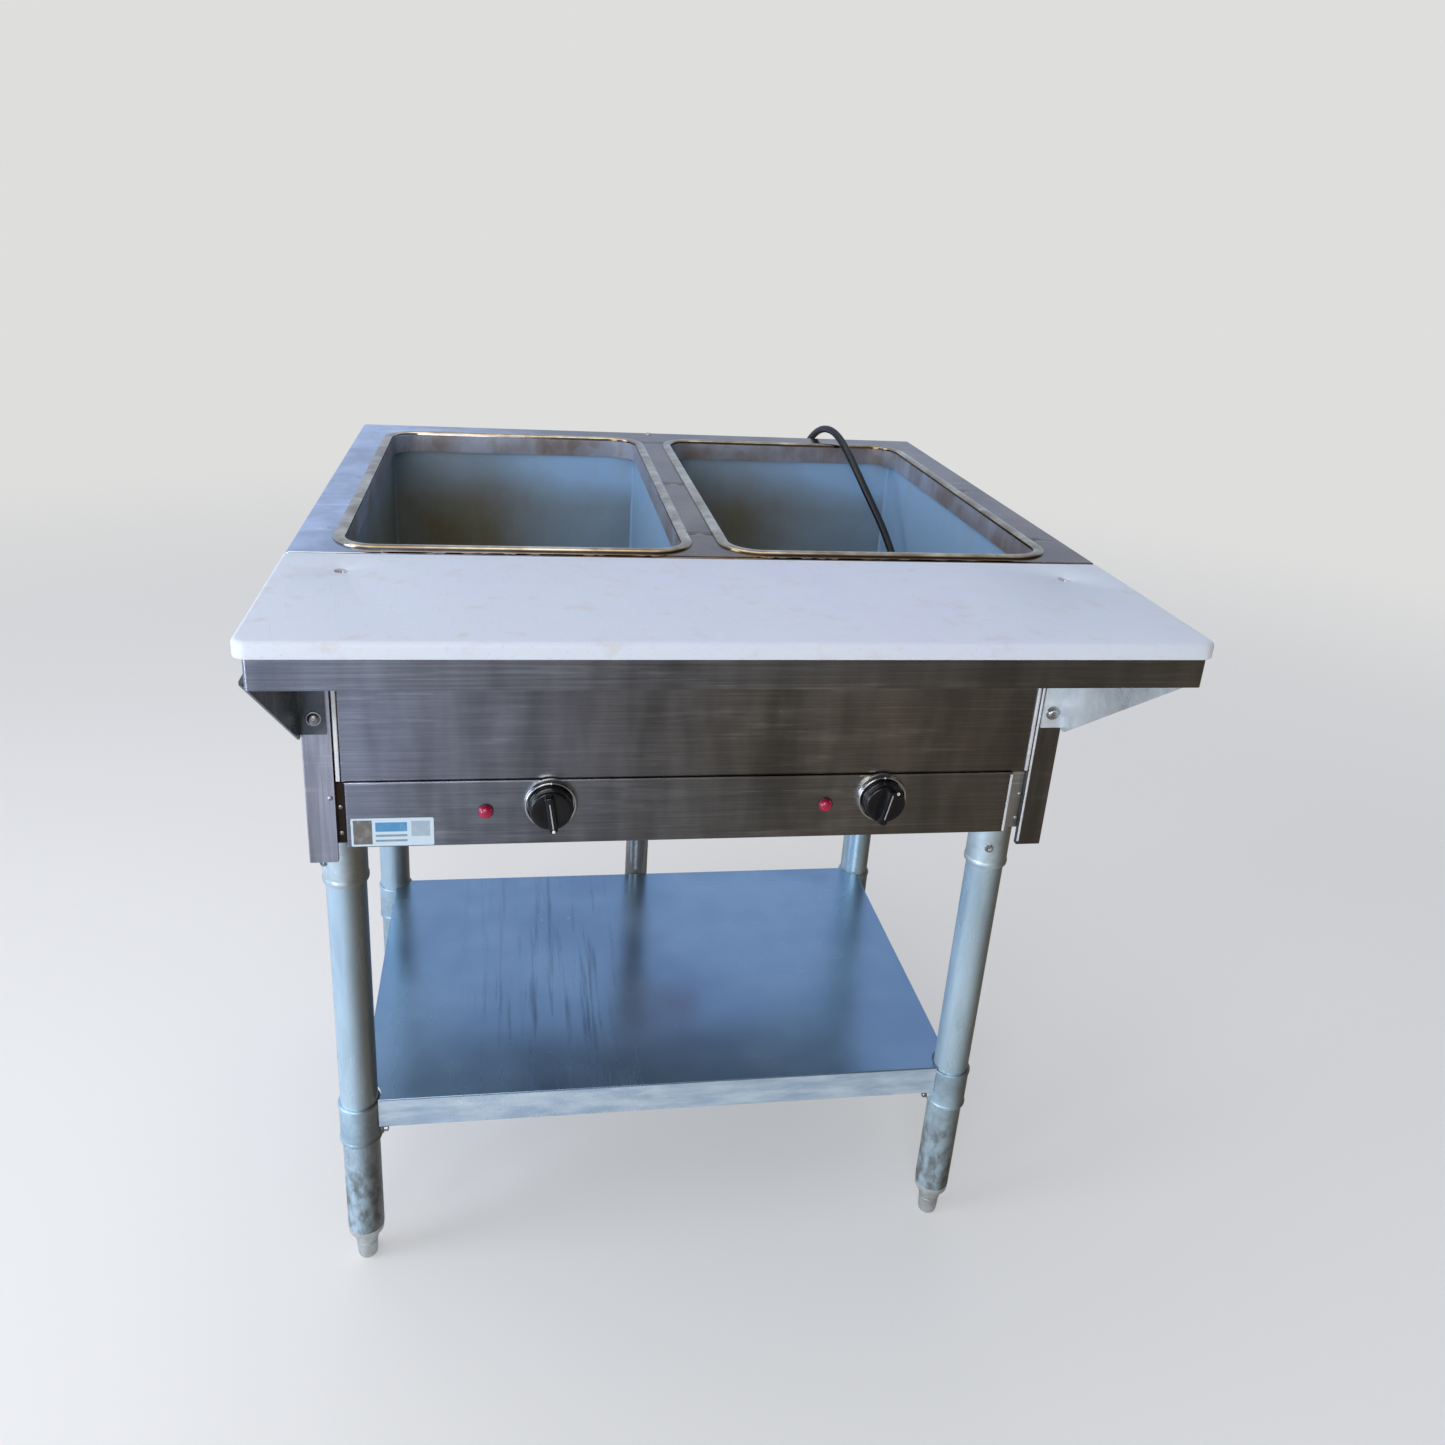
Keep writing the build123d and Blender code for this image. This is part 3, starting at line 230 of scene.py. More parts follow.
def shelf_zinc(colours):
    """Galvanised sheet of the undershelf: a smooth blue-grey sheet with dried water runs and specks."""
    def surface(tree, place):
        cloud = marks(tree, place, 210, 0.3, 0.72, detail=3.0, seed=4.0)
        base = add(tree, "Mix", {0: cloud, 6: colours.shelf_dark, 7: colours.shelf_pale}, data_type="RGBA")
        axes = add(tree, "SeparateXYZ", {0: place})
        near = add(tree, "Math", {0: axes.outputs[0], 1: 0.13}, operation="ADD")
        near = add(tree, "Math", {0: near}, operation="ABSOLUTE")
        near = add(tree, "MapRange", {"Value": near, "From Min": 0.13, "From Max": 0.03})
        runs = marks(tree, place, 9, 0.48, 0.74, stretch=(1, 22, 1), detail=5.0, seed=8.0)
        runs = add(tree, "Math", {0: runs, 1: near}, operation="MULTIPLY")
        base = stain(tree, base, runs, 0.5, "#51667f")
        dots = specks(tree, place, 40, 1.6)
        base = add(tree, "Mix", {0: dots, 6: base, 7: "#c9d3dc"}, data_type="RGBA")
        # the turned-down rim is less metallic than the sheet's top, and its paler colour is painted light on
        # its lit front face
        top = add(tree, "MapRange", {"Value": axes.outputs[2], "From Min": 0.2335, "From Max": 0.2345})
        edge = marks(tree, place, 30, 0.3, 0.7, stretch=(2, 2, 0.5), detail=5.0, seed=1.0)
        rim = add(tree, "Mix", {0: edge, 6: "#a9bfd2", 7: "#d3e2ec"}, data_type="RGBA")
        base = add(tree, "Mix", {0: top, 6: rim, 7: base}, data_type="RGBA")
        fine = marks(tree, place, 1.0, 0.25, 0.75, stretch=(60, 1.6, 1.6), detail=2.0, seed=2.0)
        gloss = add(tree, "MapRange", {"Value": cloud, "To Min": 0.2, "To Max": 0.3})
        gloss = add(tree, "Math", {0: runs, 1: 0.2, 2: gloss}, operation="MULTIPLY_ADD")
        swell = marks(tree, place, 170, 0.2, 0.8, detail=1.0, seed=7.0)
        metal = add(tree, "MapRange", {"Value": top, "To Min": 0.3, "To Max": 0.9})
        return finished(tree, base, gloss, 0.5, [(swell, 0.5), (fine, 0.004)], {"Metallic": metal})
    return material("galvanised shelf sheet", surface)


def well_steel(name, middle, colours):
    """Dull liner of a well: olive painted shade low down and to the left, blue painted sky reflection to the
    right and top.
    """
    def surface(tree, place):
        moved = add(tree, "Mapping", {"Vector": place, "Location": (-middle * MM, 0, 0)})
        axes = add(tree, "SeparateXYZ", {0: moved})
        cloud = marks(tree, place, 90, 0.25, 0.75, detail=4.0, seed=5.0)
        # painted light: olive shade low and to the left, blue sky reflection high and to the right, and the
        # right-hand wall wholly blue
        rise = add(tree, "MapRange", {"Value": axes.outputs[2], "From Min": 0.8, "From Max": 0.872},
                   interpolation_type="SMOOTHSTEP")
        side = add(tree, "MapRange", {"Value": axes.outputs[0], "From Min": -0.09, "From Max": 0.13},
                   interpolation_type="SMOOTHSTEP")
        wall = add(tree, "MapRange", {"Value": axes.outputs[0], "From Min": 0.1505, "From Max": 0.1535})
        share = add(tree, "MapRange", {"Value": side, "To Min": 0.35, "To Max": 1.0})
        both = add(tree, "Math", {0: rise, 1: share}, operation="MULTIPLY")
        both = add(tree, "Math", {0: side, 1: 0.35, 2: both}, operation="MULTIPLY_ADD")
        both = add(tree, "Math", {0: cloud, 1: 0.2, 2: both}, operation="MULTIPLY_ADD")
        both = add(tree, "Math", {0: both, 1: wall}, operation="MAXIMUM")
        base = add(tree, "Mix", {0: both, 6: colours.well_shade_olive, 7: colours.well_sky_blue},
                   data_type="RGBA", clamp_factor=True)
        scale_marks = marks(tree, place, 34, 0.45, 0.8, stretch=(1, 1, 3.5), detail=6.0, seed=12.0)
        base = stain(tree, base, scale_marks, 0.28, "#a9ab9c")
        gloss = add(tree, "MapRange", {"Value": cloud, "To Min": 0.34, "To Max": 0.5})
        swell = marks(tree, place, 120, 0.2, 0.8, detail=2.0, seed=7.0)
        return finished(tree, base, gloss, 0.4, [(swell, 0.8)], {"Metallic": 0.12})
    return material(name, surface)


def board_plastic(colours):
    """White polyethylene: waxy and slightly blue in the middle, with knife cuts and a few stains."""
    def surface(tree, place):
        axes = add(tree, "SeparateXYZ", {0: place})
        away = add(tree, "Math", {0: axes.outputs[0]}, operation="ABSOLUTE")
        middle = add(tree, "MapRange", {"Value": away, "From Min": 0.36, "From Max": 0.12},
                     interpolation_type="SMOOTHSTEP")
        cloud = marks(tree, place, 110, 0.3, 0.7, detail=3.0, seed=2.0)
        tint = add(tree, "Math", {0: middle, 1: cloud}, operation="MULTIPLY")
        base = add(tree, "Mix", {0: tint, 6: colours.board, 7: colours.board_middle}, data_type="RGBA")
        stains = marks(tree, place, 22, 0.55, 0.74, detail=6.0, seed=13.0)
        base = stain(tree, base, stains, 0.35, "#c9b9a6")
        # knife cuts are about 0.2 mm wide; drawn 1 mm wide so that they show
        cuts = []
        for turn, seed in ((0.25, 21.0), (1.45, 33.0)):
            spun = add(tree, "Mapping", {"Vector": place, "Rotation": (0, 0, turn)})
            cuts.append(marks(tree, spun, 1.0, 0.67, 0.72, stretch=(34, 1.0, 3), detail=1.0, seed=seed))
            base = stain(tree, base, cuts[-1], 0.22, "#b9b8bd")
        crossed = add(tree, "Math", {0: cuts[0], 1: cuts[1]}, operation="ADD")
        gloss = add(tree, "MapRange", {"Value": cloud, "To Min": 0.38, "To Max": 0.52})
        return finished(tree, base, gloss, 0.8, [(crossed, -0.03)], {
            "IOR": 1.54, "Subsurface Weight": 0.12, "Subsurface Scale": 0.004})
    return material("planed white polyethylene", surface)


def plastic(name, colour, rough, variation=0.12, grit=0.6, depth=0.01, coat=0.0, size=20):
    """Moulded plastic, rubber or enamel: one colour with a little dirt, and a fine moulded grit."""
    def surface(tree, place):
        cloud = marks(tree, place, size, 0.3, 0.75, detail=4.0, seed=3.0)
        paler = [min(1.0, c * (1 + variation * 2) + variation * 0.06) for c in linear(colour)[:3]] + [1.0]
        base = add(tree, "Mix", {0: cloud, 6: colour, 7: paler}, data_type="RGBA")
        gloss = add(tree, "MapRange", {"Value": cloud, "To Min": rough, "To Max": rough + variation})
        fine = marks(tree, place, grit, 0.3, 0.7, detail=2.0, seed=1.0)
        return finished(tree, base, gloss, 0.5, [(fine, depth)], {"IOR": 1.5, "Coat Weight": coat})
    return material(name, surface)


def bare_metal(name, colour, rough, variation=0.15, size=14):
    """Small bright, cast or turned metal parts: a little tarnish and handling marks."""
    def surface(tree, place):
        cloud = marks(tree, place, size, 0.3, 0.75, detail=5.0, seed=3.0)
        darker = [c * (1 - variation * 1.6) for c in linear(colour)[:3]] + [1.0]
        base = add(tree, "Mix", {0: cloud, 6: darker, 7: colour}, data_type="RGBA")
        gloss = add(tree, "MapRange", {"Value": cloud, "To Min": rough + variation, "To Max": rough})
        return finished(tree, base, gloss, 0.4, [(cloud, 0.02)], {"Metallic": 1.0})
    return material(name, surface)


def label_print():
    """Printed polyester plate: pale film with plain blue and grey bands, and no lettering."""
    def surface(tree, place):
        axes = add(tree, "SeparateXYZ", {0: place})
        base = "#c9dbe6"
        # left, right, low and high edges of each printed band, and its colour
        for left, right, low, high, colour in (
                (-0.329, -0.3115, 0.6045, 0.6305, "#6b6763"), (-0.3085, -0.279, 0.618, 0.628, "#4f8fbd"),
                (-0.3085, -0.279, 0.6125, 0.6148, "#7e95a6"), (-0.3085, -0.279, 0.607, 0.6093, "#7e95a6"),
                (-0.275, -0.2575, 0.6125, 0.629, "#a3b4c0")):
            hits = [add(tree, "Math", {0: axes.outputs[axis], 1: (start + end) / 2, 2: (end - start) / 2},
                        operation="COMPARE") for axis, start, end in ((0, left, right), (2, low, high))]
            inside = add(tree, "Math", {0: hits[0], 1: hits[1]}, operation="MULTIPLY")
            base = add(tree, "Mix", {0: inside, 6: base, 7: colour}, data_type="RGBA")
        cloud = marks(tree, place, 9, 0.45, 0.8, detail=5.0, seed=6.0)
        wear_and_side_shade = stain(tree, base, cloud, 0.25, "#e4e6e4")
        gloss = add(tree, "MapRange", {"Value": cloud, "To Min": 0.28, "To Max": 0.45})
        return add(tree, "BsdfPrincipled", {"Base Color": wear_and_side_shade, "Roughness": gloss, "IOR": 1.57})
    return material("printed polyester plate", surface)


# ---------------------------------------------------------------- shapes, in millimetres
def lathe(bm, base, outward, profile, steps=48, closed=False, slot=0):
    """Turn (radius, height) points about an axis; a radius of 0 closes the pole."""
    outward = Vector(outward).normalized()
    across = Vector((0, 0, 1)) if abs(outward.z) < 0.5 else Vector((1, 0, 0))
    other = outward.cross(across)
    rings = []
    for radius, height in profile:
        middle = Vector(base) + outward * height
        angles = [2 * math.pi * i / steps for i in range(steps if radius > 1e-6 else 1)]
        rings.append([bm.verts.new(middle + (across * math.cos(a) + other * math.sin(a)) * radius)
                      for a in angles])
    for lower, upper in list(zip(rings, rings[1:])) + ([(rings[-1], rings[0])] if closed else []):
        for i in range(steps):
            j = (i + 1) % steps
            corners = [ring[k % len(ring)] for ring, k in ((lower, i), (lower, j), (upper, j), (upper, i))]
            corners = list(dict.fromkeys(corners))
            if len(corners) > 2:
                bm.faces.new(corners).material_index = slot


def rounded_loop(middle, half_x, half_y, radius, across=1, along=1, turn=8):
    """Points round a rectangle with rounded corners, anticlockwise, the same count for any size."""
    points = []
    for quarter, (sx, sy) in enumerate(((1, -1), (1, 1), (-1, 1), (-1, -1))):
        cx, cy = sx * (half_x - radius), sy * (half_y - radius)
        for i in range(turn + 1):
            a = math.pi / 2 * (quarter - 1 + i / turn)
            points.append((cx + radius * math.cos(a), cy + radius * math.sin(a)))
        nx, ny = ((1, 1), (-1, 1), (-1, -1), (1, -1))[quarter]
        a = math.pi / 2 * quarter
        start = points[-1]
        end = (nx * (half_x - radius) + radius * math.cos(a), ny * (half_y - radius) + radius * math.sin(a))
        count = (along, across)[quarter % 2]
        points += [(start[0] + (end[0] - start[0]) * i / count, start[1] + (end[1] - start[1]) * i / count)
                   for i in range(1, count)]
    return [(middle[0] + x, middle[1] + y) for x, y in points]


def bridge(bm, rings, slot=0):
    """Join rings of equal length with quads."""
    for lower, upper in zip(rings, rings[1:]):
        for i in range(len(lower)):
            j = (i + 1) % len(lower)
            bm.faces.new((lower[i], lower[j], upper[j], upper[i])).material_index = slot


def ring_edges(bm, *rings):
    """The edges that join each ring's neighbouring points."""
    found = []
    for ring in rings:
        for i, vert in enumerate(ring):
            pair = (vert, ring[(i + 1) % len(ring)])
            found.append(bm.edges.get(pair) or bm.edges.new(pair))
    return found


def soften(mesh, sharp):
    """Smooth shading, with edges sharper than an angle in degrees kept crisp."""
    bm = bmesh.new()
    bm.from_mesh(mesh)
    for edge in bm.edges:
        edge.smooth = len(edge.link_faces) == 2 and edge.calc_face_angle(0.0) < math.radians(sharp)
    for face in bm.faces:
        face.smooth = True
    bm.to_mesh(mesh)
    bm.free()


def attach(made, body, stands_for):
    """Say which body a piece rides on and the CAD nodes that it replaces."""
    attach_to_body(made, body)
    if stands_for:
        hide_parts(*stands_for)
    return made


def piece(name, build, finishes, body, stands_for=(), sharp=35, up_face=False, wall=0.0):
    """Make one object at the origin from a build function that works in millimetres."""
    bm = bmesh.new()
    build(bm)
    bmesh.ops.remove_doubles(bm, verts=bm.verts, dist=0.002)
    bmesh.ops.recalc_face_normals(bm, faces=bm.faces)
    if up_face and max(bm.faces, key=lambda face: face.calc_area()).normal.z < 0:
        bmesh.ops.reverse_faces(bm, faces=bm.faces)
    bmesh.ops.scale(bm, vec=(MM, MM, MM), verts=bm.verts)
    mesh = bpy.data.meshes.new(name)
    bm.to_mesh(mesh)
    bm.free()
    soften(mesh, sharp)
    for finish in finishes:
        mesh.materials.append(finish)
    made = bpy.data.objects.new(name, mesh)
    bpy.context.scene.collection.objects.link(made)
    if wall:
        thick = made.modifiers.new("wall", "SOLIDIFY")
        thick.thickness, thick.offset = wall * MM, -1.0
    return attach(made, body, stands_for)


def arc(cx, cy, radius, start, end, steps=5):
    """Profile points round a corner, angles in degrees."""
    angles = [math.radians(start + (end - start) * i / steps) for i in range(steps + 1)]
    return [(cx + radius * math.cos(a), cy + radius * math.sin(a)) for a in angles]


def camera_turn(yaw, pitch, roll):
    """Rotation of a camera that looks along +Y, turned towards +X, tipped down and rolled."""
    cy, sy, cp, sp = math.cos(yaw), math.sin(yaw), math.cos(pitch), math.sin(pitch)
    ahead = Vector((sy * cp, cy * cp, -sp))
    right = Vector((cy, -sy, 0))
    up = right.cross(ahead)
    side = right * math.cos(roll) + up * math.sin(roll)
    top = up * math.cos(roll) - right * math.sin(roll)
    return Matrix((side, top, -ahead)).transposed()


# ---------------------------------------------------------------- settings
def length_setting(name, description, metres):
    """A length that a user can change."""
    return bpy.props.FloatProperty(name=name, description=description, default=metres, unit="LENGTH")


def colour_setting(name, description, code):
    """A colour that a user can change, with a hex colour as its default."""
    return bpy.props.FloatVectorProperty(name=name, description=description, subtype="COLOR", size=4,
                                         default=linear(code))


class StageSettings(bpy.types.PropertyGroup):
    """Floor, lights and camera."""

    floor: colour_setting("Floor", "Colour of the floor and backdrop", "#dededd")
    key_power: bpy.props.FloatProperty(
        name="Key light", description="Power of the soft light on the left", default=42.0, min=0.0,
        unit="POWER")
    lens: bpy.props.FloatProperty(
        name="Lens", description="Focal length in millimetres", default=29.44, min=10.0)


class DeckSettings(bpy.types.PropertyGroup):
    """Sizes of the stamped deck."""

    bead_width: length_setting("Bead width", "Width of the raised bead", 0.011)
    bead_height: length_setting("Bead height", "Height of the raised bead", 0.003)
    dent_depth: length_setting("Dent depth", "Depth of the stamping dents beside the beads", 0.0017)
    sheet: length_setting("Sheet", "Thickness of the sheet", 0.0012)


class BoardSettings(bpy.types.PropertyGroup):
    """Sizes of the cutting board."""

    edge: length_setting("Edge", "Radius of the top edges", 0.004)
    corner: length_setting("Corner", "Radius of the front corners in plan", 0.012)


class CordSettings(bpy.types.PropertyGroup):
    """Sizes of the power cord."""

    diameter: length_setting("Diameter", "Outside diameter", 0.0095)
    length: length_setting("Length", "Real length from the strain relief to the plug", 1.84)
    turn_points: bpy.props.IntProperty(
        name="Points a turn", description="Control points in each turn of the coil", default=24, min=12)


class FinishColours(bpy.types.PropertyGroup):
    """Colours of the main finishes."""

    # the liner colours are painted light: olive for shade, blue for reflected sky
    well_shade_olive: colour_setting("Well, low", "Liner in painted shade", "#776c4c")
    well_sky_blue: colour_setting("Well, high", "Liner in painted sky reflection", "#9fc3e3")
    shelf_pale: colour_setting("Shelf, pale", "Undershelf sheet", "#a4c0d6")
    shelf_dark: colour_setting("Shelf, dark", "Undershelf sheet", "#8aa5bf")
    board: colour_setting("Board", "Cutting board", "#d6dce4")
    board_middle: colour_setting("Board middle", "Cutting board, middle", "#d3d7e6")


class TableSettings(bpy.types.PropertyGroup):
    """All settings of the table."""

    stage: bpy.props.PointerProperty(type=StageSettings)
    deck: bpy.props.PointerProperty(type=DeckSettings)
    board: bpy.props.PointerProperty(type=BoardSettings)
    cord: bpy.props.PointerProperty(type=CordSettings)
    colours: bpy.props.PointerProperty(type=FinishColours)


# ---------------------------------------------------------------- stage
class STEAMTABLE_OT_stage(bpy.types.Operator):
    """Make the camera, the pale floor and the soft lights"""

    bl_idname = "steamtable.stage"
    bl_label = "Stage"

    def execute(self, context):
        settings = context.scene.steam_table.stage
        lens = bpy.data.cameras.new("camera")
        lens.sensor_width = 36.0
        lens.lens = settings.lens
        lens.shift_x, lens.shift_y = CAMERA_SHIFT
        camera = bpy.data.objects.new("camera", lens)
        turn = camera_turn(*[math.radians(angle) for angle in CAMERA_ANGLES])
        camera.matrix_world = Matrix.Translation(CAMERA_SPOT) @ turn.to_4x4()
        context.scene.collection.objects.link(camera)
        context.scene.camera = camera
        context.scene.view_settings.view_transform = "Standard"

        def floor_surface(tree, place):
            away = add(tree, "VectorMath", {0: place}, operation="LENGTH")
            far = add(tree, "MapRange", {"Value": away, "From Min": 1.4, "From Max": 4.5},
                      interpolation_type="SMOOTHSTEP")
            share = add(tree, "MapRange", {"Value": far, "To Min": 0.42, "To Max": 1.0})
            cloth = add(tree, "BsdfDiffuse", {"Color": "#fbf8f3"})
            glow = add(tree, "Emission", {"Color": settings.floor})
            pale_floor = add(tree, "MixShader", {0: share, 1: cloth, 2: glow})
            # the metal mirrors a darker yard, blue sky light on its left and brown on its right
            axes = add(tree, "SeparateXYZ", {0: place})
            side = add(tree, "MapRange", {"Value": axes.outputs[0], "From Min": -1.6, "From Max": 0.5},
                       interpolation_type="SMOOTHSTEP")
            yard = add(tree, "Mix", {0: side, 6: "#d2dffb", 7: "#7d7770"}, data_type="RGBA")
            mirrored = add(tree, "Emission", {"Color": yard})
            glossy = add(tree, "LightPath").outputs["Is Glossy Ray"]
            return add(tree, "MixShader", {0: glossy, 1: pale_floor, 2: mirrored})

        bm = bmesh.new()
        bmesh.ops.create_circle(bm, cap_ends=True, radius=60.0, segments=96)
        mesh = bpy.data.meshes.new("floor")
        bm.to_mesh(mesh)
        bm.free()
        mesh.materials.append(material("seamless backdrop", floor_surface))
        floor = bpy.data.objects.new("floor", mesh)
        context.scene.collection.objects.link(floor)

        for name, spot, aim, size, power, colour in (
                ("key", (-2.6, -0.6, 1.5), (0, 0, 0.6), (1.1, 2.4), settings.key_power * 0.9, "#e4ecfc"),
                ("top", (-0.6, 0.2, 3.4), (0, 0, 0.9), (2.6, 2.6), settings.key_power * 0.6, "#fff8f0"),
                ("fill", (-0.9, -3.0, 1.7), (0, 0, 0.5), (1.6, 1.6), settings.key_power * 0.8, "#fbf8f4"),
                ("low", (-1.7, -1.5, 0.55), (0, 0, 0.35), (0.5, 0.8), settings.key_power * 0.24, "#e6f2ff")):
            light = bpy.data.lights.new(name, "AREA")
            light.shape, light.energy = "RECTANGLE", power
            light.size, light.size_y = size
            light.color = linear(colour)[:3]
            lamp = bpy.data.objects.new(name, light)
            facing = (Vector(aim) - Vector(spot)).to_track_quat("-Z", "Y")
            lamp.matrix_world = Matrix.Translation(spot) @ facing.to_matrix().to_4x4()
            context.scene.collection.objects.link(lamp)

        world = bpy.data.worlds.new("studio")
        context.scene.world = world
        world.use_nodes = True
        tree = world.node_tree
        tree.nodes.clear()
        axes = add(tree, "SeparateXYZ", {0: add(tree, "TexCoord").outputs["Generated"]})
        side = add(tree, "MapRange", {"Value": axes.outputs[0], "From Min": -0.8, "From Max": 0.7},
                   interpolation_type="SMOOTHSTEP")
        room = add(tree, "Mix", {0: side, 6: "#b4c8ea", 7: "#5f5952"}, data_type="RGBA")
        behind = add(tree, "MapRange", {"Value": axes.outputs[1], "From Min": 0.1, "From Max": 0.7},
                     interpolation_type="SMOOTHSTEP")
        room = add(tree, "Mix", {0: behind, 6: room, 7: "#c3d6f8"}, data_type="RGBA")
        overhead = add(tree, "MapRange", {"Value": axes.outputs[2], "From Min": 0.55, "From Max": 0.98},
                       interpolation_type="SMOOTHSTEP")
        room = add(tree, "Mix", {0: overhead, 6: room, 7: "#c9ccd4"}, data_type="RGBA")
        glow = add(tree, "Background", {"Color": room, "Strength": 0.8})
        plain = add(tree, "Background", {"Color": settings.floor, "Strength": 1.0})
        seen = add(tree, "LightPath").outputs["Is Camera Ray"]
        mixed = add(tree, "MixShader", {0: seen, 1: glow, 2: plain})
        add(tree, "OutputWorld", {"Surface": mixed})
        return {"FINISHED"}


# ---------------------------------------------------------------- cord
class STEAMTABLE_OT_cord(bpy.types.Operator):
    """Make the power cord, its coil and tie, the strain relief and the plug"""

    bl_idname = "steamtable.cord"
    bl_label = "Power cord"

    def execute(self, context):
        settings = context.scene.steam_table.cord
        # soft black PVC jacket: slightly glossy, with pale dust in patches
        jacket = plastic("black PVC jacket", "#0d0d0f", 0.36, variation=0.1, grit=0.8, size=30)
        moulding = plastic("moulded black PVC", "#121214", 0.42, variation=0.1)
        coil_x, coil_y, outer, inner, lower, upper = 256, 60, 57.0, 47.5, 694.75, 704.25
        route = [
            (215, 431, 640), (215, 459, 640), (216, 484, 660), (219, 494, 700), (223, 487, 762),
            (228, 467, 828), (234, 441, 880), (242, 407, 909), (250, 367, 916), (257, 331, 906),
            (267, 299, 881), (281, 269, 848), (297, 240, 813), (309, 215, 777), (315.5, 192, 737),
            (317, 165, 707), (316, 132, 695.5), (313, 100, 694.75),
        ]
        count = settings.turn_points
        for step in range(3 * count + 1):
            turn, part = divmod(step / count, 1.0)
            angle = 360 * part
            if turn == 0:
                radius, height = outer + (inner - outer) * max(0.0, (angle - 300) / 60), lower
            elif turn == 1:
                radius, height = inner, lower + (upper - lower) * min(1.0, max(0.0, (angle - 240) / 60))
            else:
                radius, height = inner + (outer - inner) * min(1.0, angle / 60 + (turn == 3)), upper
            around = math.radians(angle)
            route.append((coil_x + radius * math.cos(around), coil_y - radius * math.sin(around), height))
        route += [(313, 38, upper), (313, 18, upper)]
        line = bpy.data.curves.new("cord", "CURVE")
        line.dimensions = "3D"
        line.resolution_u = 4
        line.bevel_depth = settings.diameter / 2
        line.bevel_resolution = 4
        line.use_fill_caps = True
        spline = line.splines.new("NURBS")
        spline.points.add(len(route) - 1)
        for point, (x, y, z) in zip(spline.points, route):
            point.co = (x * MM, y * MM, z * MM, 1.0)
        spline.order_u = 3
        spline.use_endpoint_u = True
        line.materials.append(jacket)
        cord = bpy.data.objects.new("cord", line)
        context.scene.collection.objects.link(cord)
        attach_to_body(cord, "frame")
        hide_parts("power_cord", "cord_coil", "cord_tail")

        def plug_body(bm):
            # tapered neck with flex ribs, then a round body with a grip waist and a flat blade face
            profile = [(0, 0), (5.0, 0), (5.6, 0.6)]
            for i in range(4):
                z = 2.2 + i * 3.8
                r = 5.8 + 0.4 * i
                profile += [(r + 0.5, z), (r + 0.5, z + 1.8), (r - 0.5, z + 2.2), (r - 0.5, z + 3.4)]
            profile += [(7.4, 18), (9.6, 19.6), (11.6, 22.5), (12.4, 26), (12.2, 31), (12.8, 35), (14.0, 38),
                        (14.25, 40), (14.25, 47)] + arc(12.75, 48.5, 1.5, 0, 90, 4) + [(0, 50)]
            lathe(bm, (313, 18, upper), (0, -1, 0), profile, steps=40)

        plug = piece("plug_moulding", plug_body, [moulding], "frame", ("plug",), sharp=40)

        def relief(bm):
            # moulded gland: flange against the panel, then a ribbed taper
            profile = [(0, -10), (8.6, -10), (8.6, 0), (11.6, 0), (12, 0.5), (12, 4), (11, 5.2), (9.2, 6)]
            for i in range(5):
                z = 7.4 + i * 4.6
                r = 9.0 - 0.52 * i
                profile += [(r, z), (r, z + 2.2), (r - 1.3, z + 2.5), (r - 1.4, z + 4.2)]
            profile += [(6.4, 31.2), (6.0, 31.9), (0, 31.9)]
            lathe(bm, (215, 399.1, 640), (0, 1, 0), profile, steps=36)

        gland = piece("cord_gland", relief, [moulding], "frame", ("strain_relief",), sharp=40)

        def tie(bm):
            # flat band round the coil's strands, on its left
            middle = Vector((203.75, 60, 699.5))
            rings = []
            for side_y in (-4.5, 4.5):
                for half in ((10.2, 9.2), (9.4, 8.4)) if side_y < 0 else ((9.4, 8.4), (10.2, 9.2)):
                    loop = rounded_loop((0, 0), half[0], half[1], 4.0, 6, 6, 6)
                    rings.append([bm.verts.new(middle + Vector((x, side_y, z))) for x, z in loop])
            bridge(bm, rings + [rings[0]])

        band = piece("cord_tie", tie, [plastic("woven nylon hook tape", "#1c1c20", 0.7, grit=1.0,
                                               depth=0.15)], "frame")
        dress(bare_metal("rolled brass", "#c9a862", 0.25), "plug_blades")
        return {"FINISHED"}


